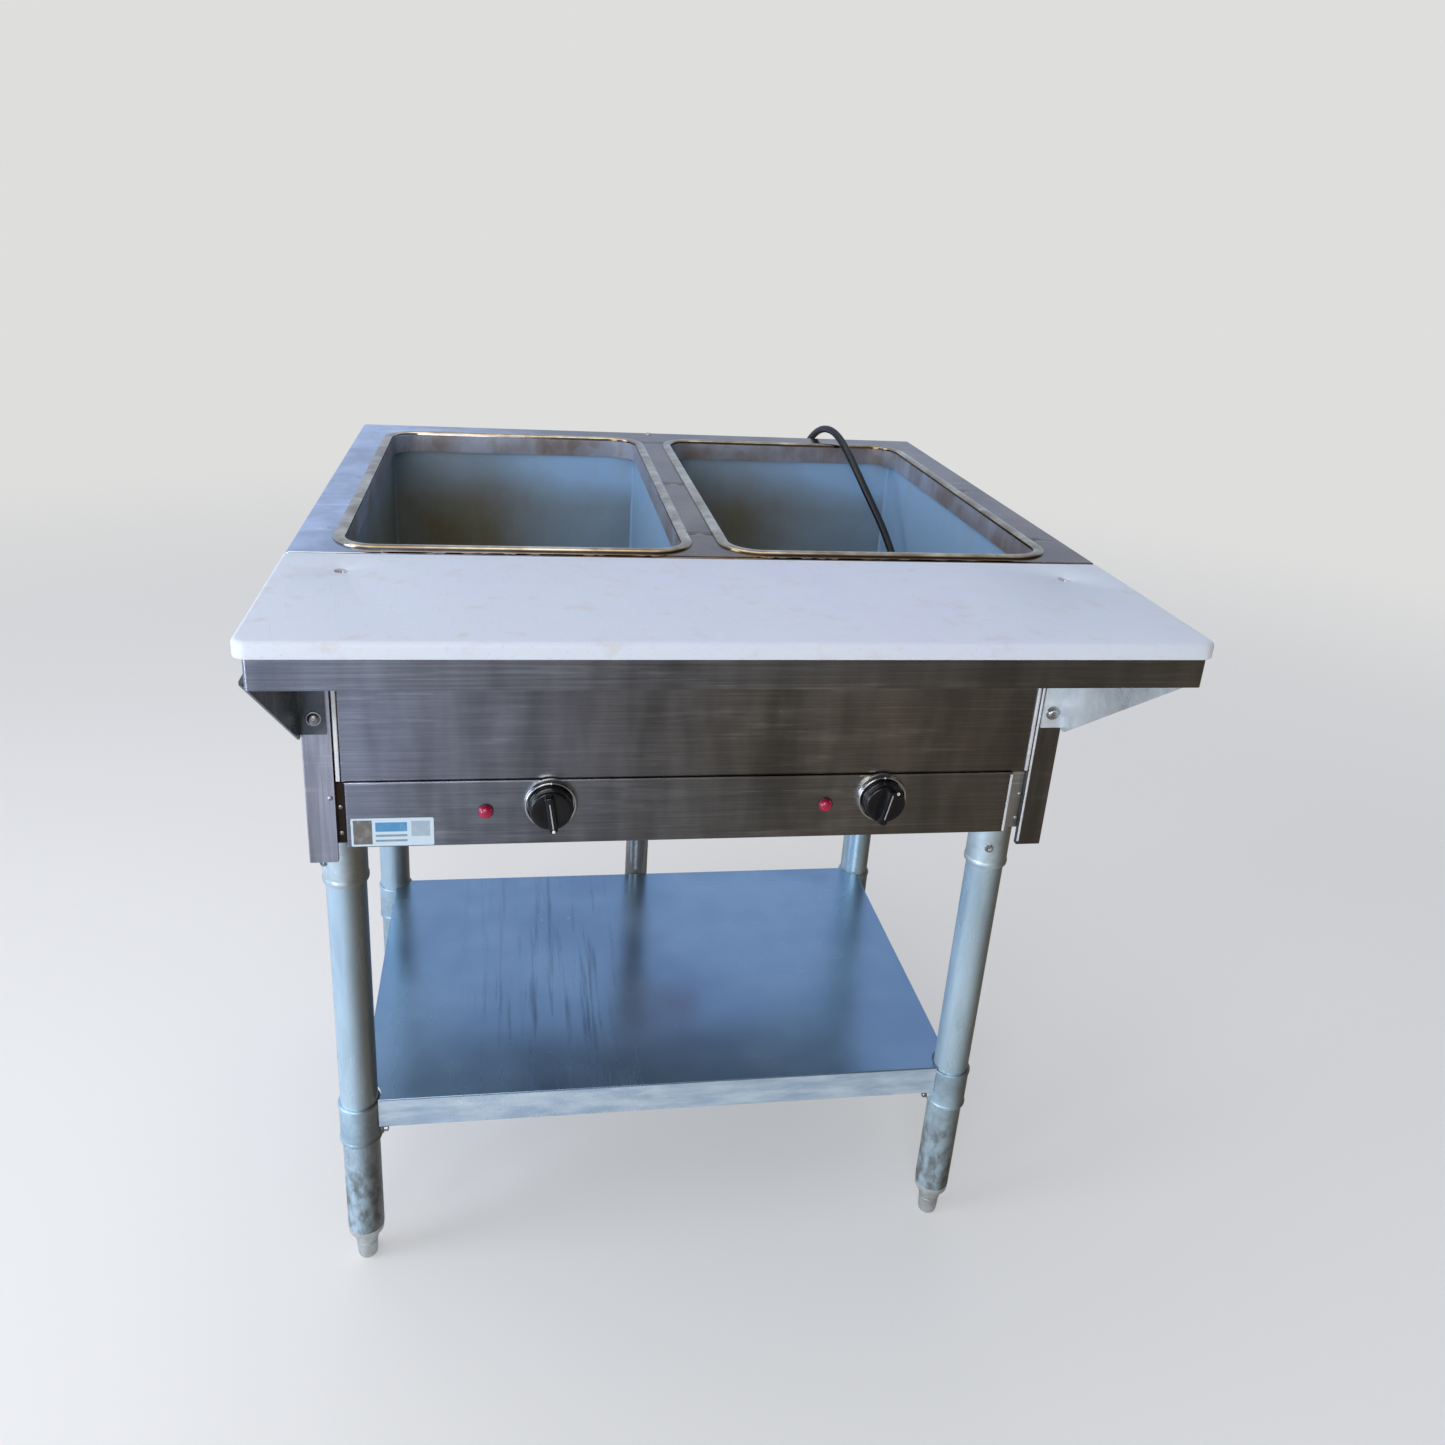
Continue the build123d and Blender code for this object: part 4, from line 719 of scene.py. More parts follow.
# ---------------------------------------------------------------- deck
class STEAMTABLE_OT_deck(bpy.types.Operator):
    """Make the stamped deck with its beads, dents and turned edges"""

    bl_idname = "steamtable.deck"
    bl_label = "Deck"

    def execute(self, context):
        settings = context.scene.steam_table.deck
        width, height = settings.bead_width / MM, settings.bead_height / MM
        dent = settings.dent_depth / MM
        # skirt, then the bead's rise, crown and fall, then flat sheet
        profile = [(0, -22), (0, -12), (0, -3), (0.15, -1.2)]
        profile += [(width / 2 - width / 2 * math.cos(math.pi * t),
                     height * math.sin(math.pi * t) ** 0.62) for t in
                    (0.06, 0.12, 0.19, 0.27, 0.36, 0.5, 0.64, 0.73, 0.81, 0.88, 0.95)]
        profile += [(width + 0.4, 0), (12.6, 0), (14.2, 0), (16, 0), (18.5, 0), (21, 0)]
        # stamping dents, in pairs to the left and right of the middle
        dents = [(side * x, y) for side in (-1, 1) for x, y in (
            (342, 103), (344, -104), (8.5, 103), (8.5, -104), (8.5, 333), (336, 338))]

        def sink(x, y):
            depth = 0.0
            for cx, cy in dents:
                along = (y - cy - 0.06 * (x - cx) ** 2) / 2.6
                over = (x - cx) / 9.0
                if abs(over) < 1.4 and abs(along) < 3:
                    depth += dent * math.exp(-along * along) * max(0.0, 1 - over * over)
            return depth

        def build(bm):
            rings = []
            for middle in WELL_CENTRES:
                nest = []
                for offset, rise in profile:
                    loop = rounded_loop(middle, 152.5 + offset, 254 + offset, 30 + offset, 60, 120, 14)
                    dented = offset > width * 0.7
                    nest.append([bm.verts.new((x, y, TABLE_TOP + rise - (sink(x, y) if dented else 0)))
                                 for x, y in loop])
                bridge(bm, nest[:4], 1)
                bridge(bm, nest[3:])
                rings.append(nest[-1])
            edges = []
            for inset, z in [(2.4, 0)] + [(2 - 2 * math.sin(a), -(2 - 2 * math.cos(a))) for a in
                                          [math.pi / 2 * i / 5 for i in range(6)]] + [(0, -12), (0, -25)]:
                loop = rounded_loop((0, 109.25), 372 - inset, 293.75 - inset, 3.2 - inset * 0.9, 8, 8, 5)
                edges.append([bm.verts.new((x, y, TABLE_TOP + z)) for x, y in loop])
            bridge(bm, edges)
            bmesh.ops.triangle_fill(bm, use_beauty=True, normal=(0, 0, 1),
                                    edges=ring_edges(bm, edges[0], *rings))

        # stainless sheet, buffed and then dulled by years of wiping; painted reflection runs from pale blue
        # on the left to brown on the right, and the beads carry painted highlight patches
        sheet = steel("buffed stainless deck", "#d3dae6", "#8e7a64", rough=(0.12, 0.22),
                      grain=(70, 1.6, 1.6), depth=0.004, smudge=0.4, scratch=0.15, fleck=0.25, wave=0.6,
                      shine_above=0.8964, turn=(-0.36, -0.06))
        skirt = zinc("stained steel skirt", "#a9b1c2", "#8b7f78", rough=(0.3, 0.45), spangle=16.0,
                     metal=0.35)
        piece("deck", build, [sheet, skirt], "frame", ("deck_top",), sharp=50, up_face=True,
              wall=settings.sheet / MM)
        return {"FINISHED"}


# ---------------------------------------------------------------- cutting board
class STEAMTABLE_OT_board(bpy.types.Operator):
    """Make the cutting board with its rounded edges and screw recesses"""

    bl_idname = "steamtable.board"
    bl_label = "Cutting board"

    def execute(self, context):
        settings = context.scene.steam_table
        edge, corner = settings.board.edge / MM, settings.board.corner / MM
        middle, half_x, half_y = (0, -293.9), 373.5, 109.1

        def outline(inset):
            front = max(corner - inset, 1.0)
            loop = rounded_loop(middle, half_x - inset, half_y - inset, front, 24, 8, 8)
            # the rear corners stay nearly square
            out = []
            for x, y in loop:
                if y > middle[1] + half_y - inset - front and abs(x) > half_x - inset - front:
                    cx = math.copysign(half_x - inset, x)
                    x, y = x + (cx - x) * 0.8, y + (middle[1] + half_y - inset - y) * 0.8
                out.append((x, y))
            return out

        def build(bm):
            low = TABLE_TOP - 13.4
            steps = [(1.0, low), (0.3, low + 0.3), (0, low + 1.0)]
            steps += [(edge - edge * math.sin(a), TABLE_TOP - edge + edge * math.cos(a))
                      for a in [math.pi / 2 * (1 - i / 7) for i in range(8)]]
            rings = [[bm.verts.new((x, y, z)) for x, y in outline(inset)] for inset, z in steps]
            bridge(bm, rings)
            bmesh.ops.triangle_fill(bm, use_beauty=True, normal=(0, 0, -1), edges=ring_edges(bm, rings[0]))
            tops = [rings[-1]]
            for x in (-318, 318):
                walls = []
                for radius, z in ((7.0, 0), (6.7, -0.12), (6.5, -0.5), (6.5, -4), (3, -4)):
                    angles = [2 * math.pi * i / 32 for i in range(32)]
                    walls.append([bm.verts.new((x + radius * math.cos(a), -236 + radius * math.sin(a),
                                                TABLE_TOP + z)) for a in angles])
                bridge(bm, walls)
                bm.faces.new(walls[-1])
                tops.append(walls[0])
            bmesh.ops.triangle_fill(bm, use_beauty=True, normal=(0, 0, 1), edges=ring_edges(bm, *tops))

        piece("board", build, [board_plastic(settings.colours)], "frame",
              ("cutting_board",), sharp=40)
        return {"FINISHED"}


# ---------------------------------------------------------------- controls
class STEAMTABLE_OT_controls(bpy.types.Operator):
    """Make the knobs, their dial rings and the pilot lamps"""

    bl_idname = "steamtable.controls"
    bl_label = "Knobs and lamps"

    def execute(self, context):
        # black phenolic with a polished skin, chromed zinc rings, red acrylic lenses
        phenolic = plastic("polished black phenolic", "#0b0b0d", 0.16, variation=0.1, grit=2.0,
                           depth=0.002, coat=0.1)
        chrome = bare_metal("chromed zinc ring", "#e2e2e2", 0.08, variation=0.08)
        white = plastic("white marking paint", "#e6e6e2", 0.5)
        # the grey line on the grip bar is a painted highlight
        grey = plastic("grey painted highlight line", "#9c9c98", 0.45)
        lens = plastic("red acrylic lens", "#a30f3c", 0.14, variation=0.06, grit=3.0, coat=0.5)
        dark = plastic("black lamp skirt", "#3a1620", 0.4)
        for side, (x, degrees) in KNOBS.items():
            tilt = math.radians(degrees)
            up = Vector((math.sin(tilt), 0, math.cos(tilt)))
            across = Vector((math.cos(tilt), 0, -math.sin(tilt)))
            middle = Vector((x, 0, CONTROL_Z))

            def bar(bm, half_w, half_l, low, high, slot, shrink=0.0, shift=0.0, radius=2.5):
                """A tapered bar on the knob's face, in the knob's own turned axes."""
                rings = []
                for depth, inset in ((low, 0), (high - 1.2, shrink), (high - 0.35, shrink + 0.35),
                                     (high, shrink + 1.2)):
                    loop = rounded_loop((0, shift), half_w - inset * min(1, half_w / 4), half_l - inset,
                                        max(0.3, min(radius, half_w - 0.1) - inset * 0.3), 1, 1, 5)
                    rings.append([bm.verts.new(middle + across * a + up * b + Vector((0, -depth, 0)))
                                  for a, b in loop])
                bridge(bm, rings, slot)
                bm.faces.new(rings[0]).material_index = slot
                bm.faces.new(rings[-1]).material_index = slot

            def build_knob(bm):
                profile = [(3, 2.6), (20.6, 2.6), (21.6, 3.2), (21.6, 8.6), (21.2, 9.4), (20.7, 9.9),
                           (20.6, 13), (20.4, 16.5)]
                profile += arc(17.9, 17.0, 2.5, 0, 90, 6) + [(12, 19.3), (9, 18.9), (0, 18.9)]
                lathe(bm, (x, CONTROL_FACE, CONTROL_Z), (0, -1, 0), profile, steps=64)
                # grip bar across the face, with a grey painted highlight line along its top
                bar(bm, 4.6, 19.2, 197, 208.4, 0, shrink=0.5)
                bar(bm, 0.75, 14.5, 208.0, 208.62, 1, shift=1.5)

            knob = piece(f"control_knob_{side}", build_knob, [phenolic, grey], f"knob_{side}",
                         (f"knob_{side}",), sharp=32)

            # the left knob's white dot is on its grip bar, the right one's on its face
            way, low, shoulder, top = (up * 17.2, -208.0, 0.3, 0.5) if side == "left" else (
                up * 14.5 + across * 8.5, -200.2, 0.35, 0.6)

            def build_dot(bm):
                spot = middle + way
                lathe(bm, (spot.x, low, spot.z), (0, -1, 0),
                      [(0, -0.6), (1.7, -0.6), (1.7, shoulder), (1.3, top), (0, top)], steps=16)

            piece(f"knob_dot_{side}", build_dot, [white], f"knob_{side}", sharp=40)

            def build_ring(bm):
                profile = [(9.5, 0), (26, 0), (26, 1.4)] + arc(24.6, 3.4, 1.4, 0, 40, 3)
                profile += [(24.9, 6.2)] + arc(24.0, 6.7, 0.8, 20, 90, 4) + [(23.2, 7.5)]
                profile += arc(23.2, 6.9, 0.6, 90, 180, 3) + [(22.6, 1.2), (9.5, 1.2)]
                lathe(bm, (x, CONTROL_FACE, CONTROL_Z), (0, -1, 0), profile, steps=72, closed=True)

            piece(f"dial_ring_{side}", build_ring, [chrome], "frame",
                  (f"knob_bezel_{side}",), sharp=30)

            def build_index(bm):
                lathe(bm, (x, CONTROL_FACE - 7.3, CONTROL_Z + 24.0), (0, -1, 0),
                      [(0, -0.5), (1.0, -0.5), (1.0, 0.3), (0.7, 0.45), (0, 0.45)], steps=14)

            piece(f"dial_index_{side}", build_index, [white], "frame", sharp=40)

            def build_lamp(bm):
                # dark skirt, then the domed lens
                seat = (LAMPS[side], CONTROL_FACE, CONTROL_Z - 8)
                skirt = [(0, -8), (6.0, -8), (6.0, 0), (7.5, 0), (7.6, 0.5), (7.5, 1.4), (7.0, 1.8)]
                lathe(bm, seat, (0, -1, 0), skirt, steps=40, slot=1)
                angles = [math.radians(a) for a in (12, 24, 36, 48, 60, 72, 82)]
                dome = [(6.6 * math.cos(a), 2.4 + 4.2 * math.sin(a)) for a in angles]
                lathe(bm, seat, (0, -1, 0), [(7.0, 1.8), (6.8, 2.6)] + dome + [(0, 6.6)], steps=40)

            piece(f"pilot_lamp_{side}", build_lamp, [lens, dark], "frame",
                  (f"indicator_light_{side}",), sharp=35)
        return {"FINISHED"}


# ---------------------------------------------------------------- leg fittings
class STEAMTABLE_OT_leg_fittings(bpy.types.Operator):
    """Make the sockets, shelf collars, leg inserts and bullet feet"""

    bl_idname = "steamtable.leg_fittings"
    bl_label = "Leg fittings"

    def execute(self, context):
        # cast zinc and turned aluminium: matt and pale, with a little dirt low down
        # the collar and socket finishes paint a pale highlight on each tube's -X side and shade on its +X
        # side
        cast = zinc("cast zinc collar", "#e2eaee", "#b6c0c6", rough=(0.3, 0.45), spangle=3.0,
                    grime=0.15, grime_top=0.24, streaks=0.2, tube=True)
        socket_cast = zinc("cast zinc socket", "#f0efec", "#c4c3bf", rough=(0.26, 0.42), spangle=4.0,
                           tube=True)
        foot_metal = zinc("turned aluminium foot", "#d6dad8", "#a9adab", rough=(0.3, 0.45),
                          spangle=2.5, grime=0.5, grime_top=0.06, metal=0.4)

        def sockets(bm):
            for x, y in CORNERS.values():
                profile = [(20.7, 521.5)] + arc(22.2, 522.0, 1.4, 200, 360, 6) + [(23.8, 523.5), (23.8, 526)]
                profile += [(23.2, 527.2), (23.0, 529), (23.0, 585.4), (20.7, 585.4)]
                lathe(bm, (x, y, 0), (0, 0, 1), profile, steps=56, closed=True)
                inner = 369.1 if x > 0 else -369.1
                loop = [(x + 22.8 * math.cos(a), y + 22.8 * math.sin(a)) for a in
                        [2 * math.pi * i / 40 for i in range(40)]]
                cut = min if x > 0 else max
                rings = [[bm.verts.new((cut(px, inner), py, z)) for px, py in loop] for z in (584.6, 597.9)]
                bridge(bm, rings)
                for ring in rings:
                    bm.faces.new(ring)

        piece("sockets", sockets, [socket_cast], "frame", ("leg_sockets",), sharp=40)

        def collars(bm):
            for x, y in CORNERS.values():
                profile = [(20.95, 179)] + arc(22.4, 180.2, 1.2, 270, 360, 4) + [(23.6, 182.5), (22.9, 183.6)]
                profile += [(22.6, 185), (22.6, 223), (22.9, 225.4), (23.6, 227.6)]
                profile += arc(22.4, 229.8, 1.2, 0, 90, 4) + [(20.95, 231)]
                lathe(bm, (x, y, 0), (0, 0, 1), profile, steps=56, closed=True)
                way = -1 if x > 0 else 1
                boss = [(0, 0), (6.2, 0), (6.0, 2.6), (5.2, 3.4), (0, 3.4)]
                lathe(bm, (x + way * 22.0, y, 187), (way, 0, 0), boss, steps=24)

        piece("collars", collars, [cast], "undershelf", ("shelf_collars",), sharp=40)

        def inserts(bm):
            for x, y in CORNERS.values():
                profile = [(6.06, 40), (17.2, 40)] + arc(17.6, 42.6, 2.6, 270, 360, 6)
                profile += [(20.25, 44), (20.25, 48.6), (20.0, 49), (19.1, 49), (19.1, 80), (6.06, 80)]
                lathe(bm, (x, y, 0), (0, 0, 1), profile, steps=48, closed=True)

        piece("inserts", inserts, [foot_metal], "frame", ("leg_inserts",), sharp=40)

        for name, (x, y) in CORNERS.items():
            def bullet(bm):
                # flat pad, tapering body with a groove, a round upper band and the ridged stem
                profile = [(0, 0), (8.5, 0), (9.4, 0.4), (10.2, 1.3), (10.8, 2.8), (11.2, 4.6), (11.7, 12),
                           (12.2, 21), (12.2, 23.2), (11.7, 24.0), (11.9, 24.8), (12.8, 25.8), (13.2, 26.8),
                           (13.2, 37.0), (12.8, 38.6), (12.0, 39.8), (6, 40)]
                for i in range(16):
                    z = 41.2 + i * 2.5
                    profile += [(6.0, z), (5.3, z + 0.9), (6.0, z + 1.8)]
                profile += [(6.0, 82.4), (4.6, 84), (0, 84)]
                lathe(bm, (x, y, 0), (0, 0, 1), profile, steps=40)

            piece(f"bullet_{name}", bullet, [foot_metal], f"foot_{name}", (f"foot_{name}",),
                  sharp=38)
        return {"FINISHED"}


# ---------------------------------------------------------------- fasteners
def head_tree():
    """Node group: a domed or flat head on every seat point, facing along its outward direction."""
    tree = bpy.data.node_groups.new("Heads on seats", "GeometryNodeTree")
    tree.is_modifier = True
    sockets = tree.interface
    sockets.new_socket("Seats", in_out="INPUT", socket_type="NodeSocketGeometry")
    for name, value in (("Radius", 0.005), ("Height", 0.002), ("Flatness", 2.0), ("Recess Radius", 0.0),
                        ("Recess Depth", 0.0)):
        sockets.new_socket(name, in_out="INPUT", socket_type="NodeSocketFloat").default_value = value
    sockets.new_socket("Sides", in_out="INPUT", socket_type="NodeSocketInt").default_value = 24
    sockets.new_socket("Finish", in_out="INPUT", socket_type="NodeSocketMaterial")
    sockets.new_socket("Heads", in_out="OUTPUT", socket_type="NodeSocketGeometry")
    given = add(tree, "NodeGroupInput").outputs
    cone = add(tree, "GeometryNodeMeshCone", {
        "Vertices": given["Sides"], "Side Segments": 14, "Fill Segments": 1, "Radius Top": 0.0,
        "Radius Bottom": given["Radius"], "Depth": given["Height"]})
    axes = add(tree, "SeparateXYZ", {0: add(tree, "GeometryNodeInputPosition")})
    flat = add(tree, "CombineXYZ", {0: axes.outputs[0], 1: axes.outputs[1]})
    reach = add(tree, "VectorMath", {0: flat}, operation="LENGTH")
    share = add(tree, "Math", {0: reach, 1: given["Radius"]}, operation="DIVIDE", use_clamp=True)
    drop = add(tree, "Math", {0: share, 1: given["Flatness"]}, operation="POWER")
    rise = add(tree, "Math", {0: 1.0, 1: drop}, operation="SUBTRACT", use_clamp=True)
    rise = add(tree, "Math", {0: rise, 1: 0.6}, operation="POWER")
    rise = add(tree, "Math", {0: rise, 1: given["Height"]}, operation="MULTIPLY")
    inside = add(tree, "Math", {0: reach, 1: given["Recess Radius"]}, operation="LESS_THAN")
    sunk = add(tree, "Math", {0: inside, 1: given["Recess Depth"]}, operation="MULTIPLY")
    rise = add(tree, "Math", {0: rise, 1: sunk}, operation="SUBTRACT")
    moved = add(tree, "CombineXYZ", {0: axes.outputs[0], 1: axes.outputs[1], 2: rise})
    head = add(tree, "GeometryNodeSetPosition", {"Geometry": cone, "Position": moved})
    outward = add(tree, "GeometryNodeInputNamedAttribute", {"Name": "outward"}, data_type="FLOAT_VECTOR")
    facing = add(tree, "FunctionNodeAlignRotationToVector", {"Vector": outward}, axis="Z")
    spin = add(tree, "FunctionNodeRandomValue", {"Min": (0, 0, 0), "Max": (0, 0, 6.283), "Seed": 4},
               data_type="FLOAT_VECTOR")
    turned = add(tree, "FunctionNodeRotateRotation", {"Rotation": facing, "Rotate By": spin},
                 rotation_space="LOCAL")
    placed = add(tree, "GeometryNodeInstanceOnPoints", {
        "Points": given["Seats"], "Instance": head, "Rotation": turned})
    real = add(tree, "GeometryNodeRealizeInstances", {0: placed})
    done = add(tree, "GeometryNodeSetMaterial", {"Geometry": real, "Material": given["Finish"]})
    add(tree, "NodeGroupOutput", {"Heads": done})
    return tree


def heads(name, tree, seats, stands_for=(), lift=0.0, **values):
    """Run the head group on seat points (place, outward) in millimetres and keep the plain mesh."""
    mesh = bpy.data.meshes.new(name)
    ways = [Vector(way).normalized() for _, way in seats]
    mesh.from_pydata([(Vector(spot) + way * lift) * MM for (spot, _), way in zip(seats, ways)], [], [])
    layer = mesh.attributes.new("outward", "FLOAT_VECTOR", "POINT")
    for item, way in zip(layer.data, ways):
        item.vector = way
    made = bpy.data.objects.new(name, mesh)
    bpy.context.scene.collection.objects.link(made)
    modifier = made.modifiers.new("heads", "NODES")
    modifier.node_group = tree
    keys = {item.name: item.identifier for item in tree.interface.items_tree if item.in_out == "INPUT"}
    for key, value in values.items():
        modifier[keys[key.replace("_", " ").title()]] = value
    bpy.context.view_layer.update()
    result = bpy.data.meshes.new_from_object(made.evaluated_get(bpy.context.evaluated_depsgraph_get()))
    made.modifiers.clear()
    made.data = result
    soften(result, 38)
    return attach(made, "frame", stands_for)


class STEAMTABLE_OT_fasteners(bpy.types.Operator):
    """Set the screws, rivets and bolts on their seats"""

    bl_idname = "steamtable.fasteners"
    bl_label = "Fasteners"

    def execute(self, context):
        tree = head_tree()
        # zinc-plated steel: bright on bolts and screws, duller on rivets
        plated = bare_metal("bright zinc plate", "#c8cac6", 0.22, size=5)
        dull = bare_metal("aluminium rivet", "#bfc0bd", 0.34, size=4)
        back, front, up = (0, 1, 0), (0, -1, 0), (0, 0, 1)
        heads("panel_screws", tree, [((s * 357.5, 401.5, z), back) for s in (-1, 1) for z in (610, 740, 858)],
              ("back_panel_screws",), radius=0.005, height=0.0015, flatness=2.6, recess_radius=0.0016,
              recess_depth=0.0007, sides=28, finish=plated)
        rivets = [((x, -174, z), front) for x in (-340.6, 342.0) for z in (614, 642)]
        rivets.append(((-348, -181.2, 655), front))
        heads("blind_rivets", tree, rivets, ("panel_rivets",), radius=0.0026, height=0.0014, flatness=2.2,
              recess_radius=0.0009, recess_depth=0.0005, sides=20, finish=dull)
        heads("deck_rivet", tree, [((2, 394, 896), up)], radius=0.005, height=0.0018, flatness=2.0,
              recess_radius=0.0014, recess_depth=0.0006, sides=28, finish=dull)
        bolts = [((s * 358, -183.2, z), front) for s in (-1, 1) for z in (738, 826)]
        heads("bracket_washers", tree, bolts, ("bracket_bolts",), radius=0.0075, height=0.0009, flatness=24.0,
              sides=32, finish=plated)
        heads("bracket_bolt_heads", tree, bolts, lift=0.85, radius=0.0058, height=0.003, flatness=3.2,
              recess_radius=0.0018, recess_depth=0.0008, sides=28, finish=plated)
        heads("board_screw_heads", tree, [((s * 318, -236, 892), up) for s in (-1, 1)], ("board_screws",),
              radius=0.0056, height=0.0026, flatness=2.4, recess_radius=0.0018, recess_depth=0.0011, sides=28,
              finish=plated)
        dress(plated, "socket_set_screws", "shelf_set_screws")
        return {"FINISHED"}


# ---------------------------------------------------------------- sheet metal and inner parts
class STEAMTABLE_OT_hems(bpy.types.Operator):
    """Make the rolled hems that edge the front panels; the pale ones are a painted highlight"""

    bl_idname = "steamtable.hems"
    bl_label = "Panel hems"

    def execute(self, context):
        # folded sheet edges; their pale finish is a painted highlight
        bright = zinc("sheet edge painted highlight", "#f6f8fa", "#cfd3d6", rough=(0.2, 0.34), metal=0.25)

        def build(bm):
            # a rounded bar for each hem: its slot (0 pale as painted highlight, 1 brushed steel), middle,
            # half width, half height, and its depth range
            for slot, middle, half_x, half_z, low, high in (
                    (1, (-3.5, 669.8), 331.3, 0.9, 180.2, 181.2),
                    (0, (326.7, 635.3), 1.25, 33.0, 180.2, 181.3),
                    (0, (-340.5, 781.5), 1.9, 110.0, 177.0, 179.6),
                    (0, (342.2, 781.5), 1.6, 110.0, 177.0, 179.4),
                    (0, (345.1, 738.0), 1.1, 148.0, 180.8, 182.1)):
                rings = []
                for depth, inset in ((low, 0.2), (low, 0), (high - 0.5, 0), (high - 0.15, 0.15), (high, 0.4)):
                    loop = rounded_loop(middle, half_x - inset, half_z - inset, 0.2, 4, 4, 3)
                    rings.append([bm.verts.new((x, -depth, z)) for x, z in loop])
                bridge(bm, rings, slot)
                bm.faces.new(rings[0]).material_index = slot
                bm.faces.new(rings[-1]).material_index = slot

        strip = steel("brushed stainless hem", "#b2b6c2", "#a09b90", rough=(0.24, 0.34), depth=0.01,
                      smudge=0.1, scratch=0.1)
        piece("panel_hems", build, [bright, strip], "frame", sharp=60)
        return {"FINISHED"}


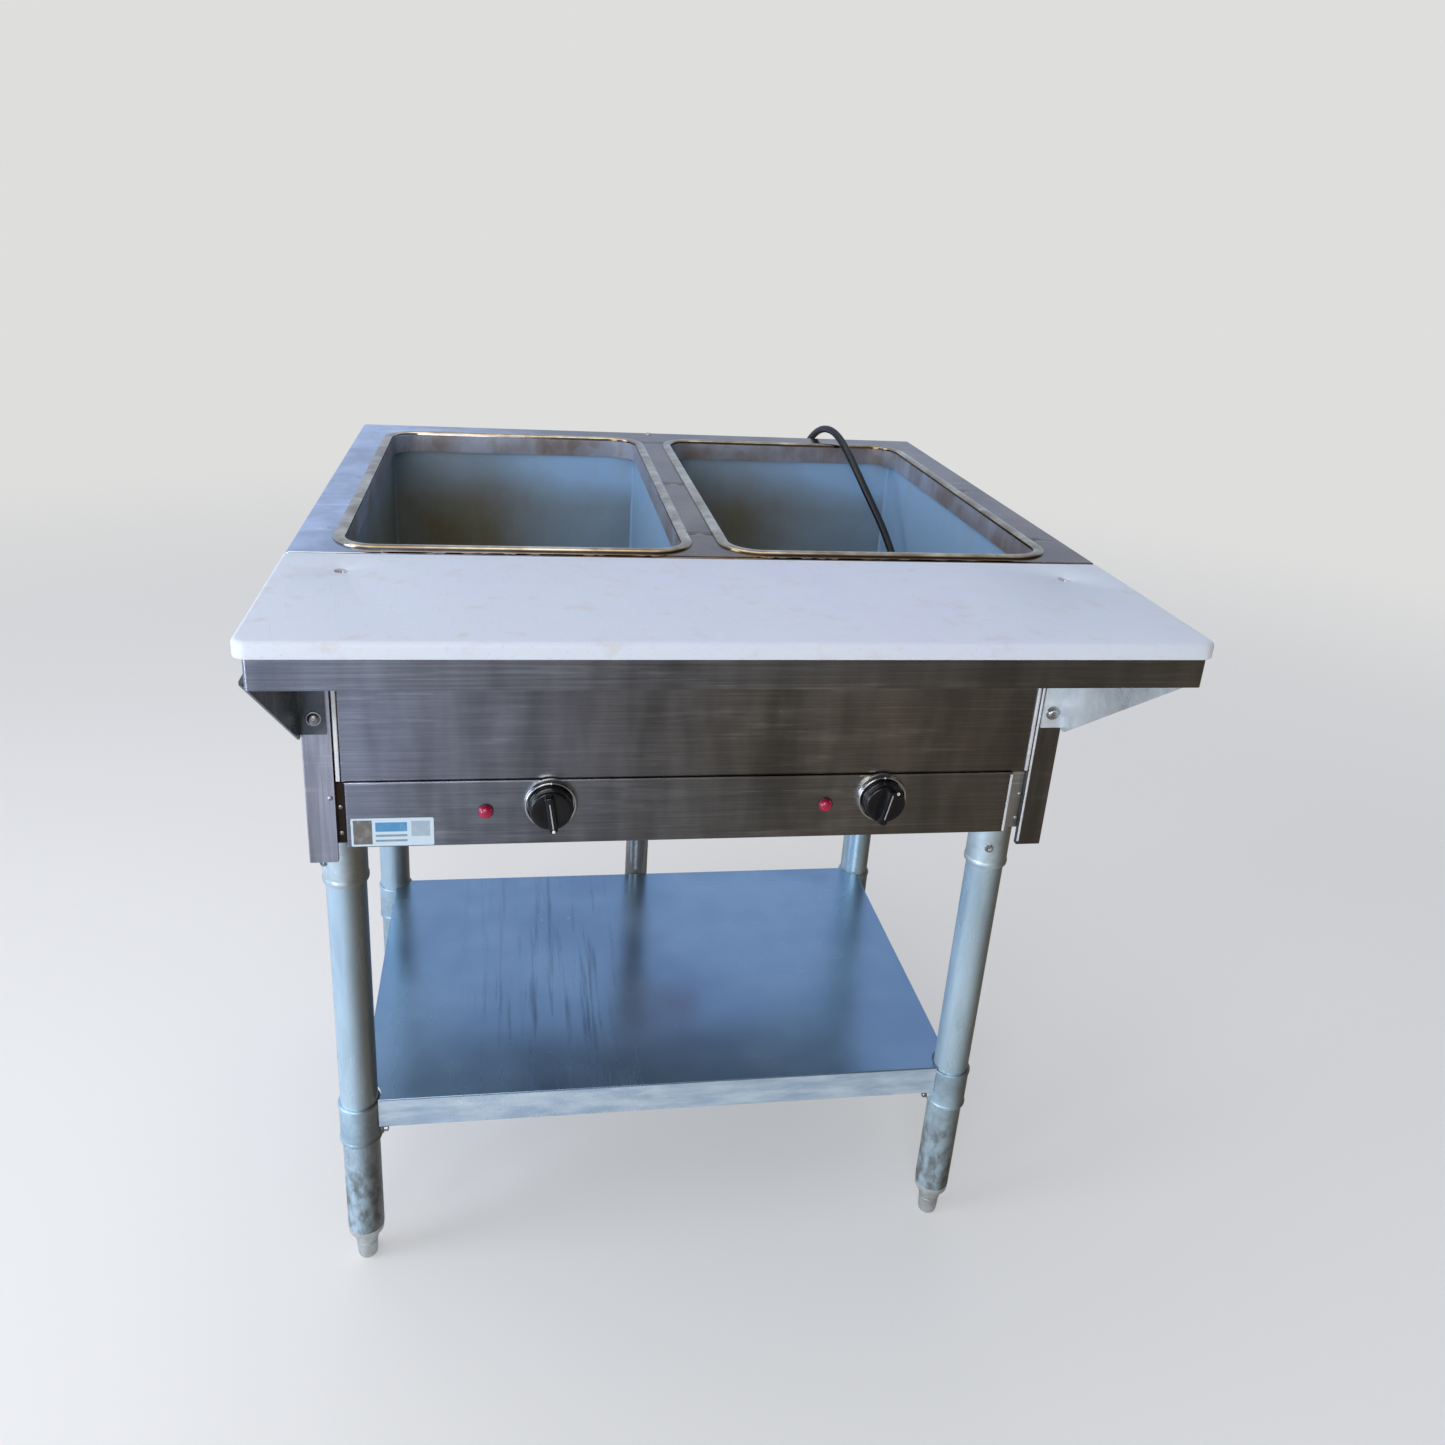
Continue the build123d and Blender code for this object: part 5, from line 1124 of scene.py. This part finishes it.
class STEAMTABLE_OT_sheet_metal(bpy.types.Operator):
    """Give the panels, wells, legs, shelf and inner parts their finishes"""

    bl_idname = "steamtable.sheet_metal"
    bl_label = "Sheet metal and tube"

    def execute(self, context):
        colours = context.scene.steam_table.colours
        # long-grain brushed stainless: streaks along the panel, wiped grease and dry splashes; the change of
        # colour from left to right is a painted reflection
        dress(steel("brushed stainless panel", "#989ba5", "#86827a", smudge=0.24, scratch=0.15, fleck=0.7),
              "front_panel")
        dress(steel("brushed stainless control strip", "#969aa2", "#88857d", turn=(-0.4, 0.35), fleck=0.5),
              "control_panel")
        dress(steel("brushed stainless apron", "#94979e", "#7c7972", turn=(-0.4, 0.45), rough=(0.22, 0.34)),
              "board_shelf")
        dress(steel("brushed stainless side", "#b6b6bd", "#85817b", rough=(0.28, 0.42), grain=(2.0, 40, 60),
                    smudge=0.15, scratch=0.1, fleck=0.3), "side_panel_left", "side_panel_right", "back_panel")
        # painted light: the left end strap is painted dark as shade and the right one pale as lit
        dress(steel("riveted end strap", "#3d342c", "#e6e6e4", turn=(-0.1, 0.1), rough=(0.26, 0.42),
                    grain=(2.0, 2.0, 40), depth=0.01, smudge=0.35, scratch=0.3, fleck=0.1),
              "panel_end_brackets")
        # lit and shaded copies of one galvanised finish: the right bracket is pale as painted light, the left
        # one dark as painted shade
        dress(zinc("galvanised bracket", "#eaf0f3", "#bac3ca", rough=(0.22, 0.4), spangle=8.0,
                   metal=0.3), "shelf_bracket_right")
        dress(zinc("galvanised bracket in painted shade", "#6f7478", "#4d5154", rough=(0.2, 0.34),
                   spangle=8.0, metal=0.7), "shelf_bracket_left")
        dress(zinc("galvanised pan", "#a9b0b4", "#82898d", spangle=10.0, wave=0.3), "bottom_pan")
        # the liners' olive and blue are painted shade and painted sky reflection
        dress(well_steel("liner with painted light left", WELL_CENTRES[0][0], colours), "well_left")
        dress(well_steel("liner with painted light right", WELL_CENTRES[1][0], colours), "well_right")
        # galvanised tube: drawn smooth, streaked along its length, stained brown near the floor; its -X side
        # is painted pale as a highlight and its +X side darker as shade
        dress(zinc("galvanised tube", "#f1f7fa", "#cdd6db", rough=(0.2, 0.34), spangle=7.0,
                   stretch=(1, 1, 5), grime=0.75, grime_top=0.21, streaks=0.3, tube=True),
              "leg_front_left", "leg_front_right", "leg_back_left", "leg_back_right")
        dress(zinc("galvanised drain pipe", "#b0aea8", "#716d66", rough=(0.16, 0.3),
                   stretch=(1, 1, 5), spangle=8.0), "drain_pipe", "drain_manifold")
        dress(shelf_zinc(colours), "undershelf")
        dress(label_print(), "rating_plate")
        dress(bare_metal("cast brass", "#b8965a", 0.3), "drain_valve", "drain_fittings")
        dress(plastic("dipped red vinyl", "#b3261e", 0.35), "drain_valve_lever")
        dress(bare_metal("nickel alloy sheath", "#5b5a55", 0.45), "heating_element_left",
              "heating_element_right")
        dress(bare_metal("zinc-plated strap", "#a6a9a6", 0.35), "element_clamps", "switch_shaft_left",
              "switch_shaft_right")
        # ceramic fibre board: matt, off-white and fluffy
        dress(plastic("ceramic fibre board", "#cbb98a", 0.9, variation=0.08, grit=3.0, depth=0.5),
              "well_insulation")
        dress(plastic("brown phenolic switch", "#33261d", 0.4), "heat_switch_left", "heat_switch_right")
        dress(plastic("white nylon terminal", "#dcd9cf", 0.45), "terminal_block")
        dress(plastic("braided glass sleeve", "#c9c4b4", 0.8, grit=1.5, depth=0.2), "internal_wiring")
        return {"FINISHED"}


# ---------------------------------------------------------------- panel
OPERATORS = (STEAMTABLE_OT_stage, STEAMTABLE_OT_cord, STEAMTABLE_OT_deck, STEAMTABLE_OT_board,
             STEAMTABLE_OT_controls, STEAMTABLE_OT_leg_fittings, STEAMTABLE_OT_fasteners,
             STEAMTABLE_OT_hems, STEAMTABLE_OT_sheet_metal)


class STEAMTABLE_PT_panel(bpy.types.Panel):
    """The builder's panel"""

    bl_label = "Steam Table"
    bl_idname = "STEAMTABLE_PT_panel"
    bl_space_type = "VIEW_3D"
    bl_region_type = "UI"
    bl_category = "Steam Table"

    def draw(self, context):
        settings = context.scene.steam_table
        for group in ("stage", "deck", "board", "cord", "colours"):
            box = self.layout.box()
            box.label(text=group.title())
            part = getattr(settings, group)
            for name in part.__annotations__:
                box.prop(part, name)
        for operator in OPERATORS:
            self.layout.operator(operator.bl_idname)


CLASSES = (StageSettings, DeckSettings, BoardSettings, CordSettings, FinishColours, TableSettings,
           *OPERATORS, STEAMTABLE_PT_panel)


def register():
    for item in CLASSES:
        bpy.utils.register_class(item)
    bpy.types.Scene.steam_table = bpy.props.PointerProperty(type=TableSettings)


def unregister():
    del bpy.types.Scene.steam_table
    for item in reversed(CLASSES):
        bpy.utils.unregister_class(item)


def main():
    register()
    for operator in OPERATORS:
        group, name = operator.bl_idname.split(".")
        getattr(getattr(bpy.ops, group), name)()


if __name__ == "__main__":
    main()
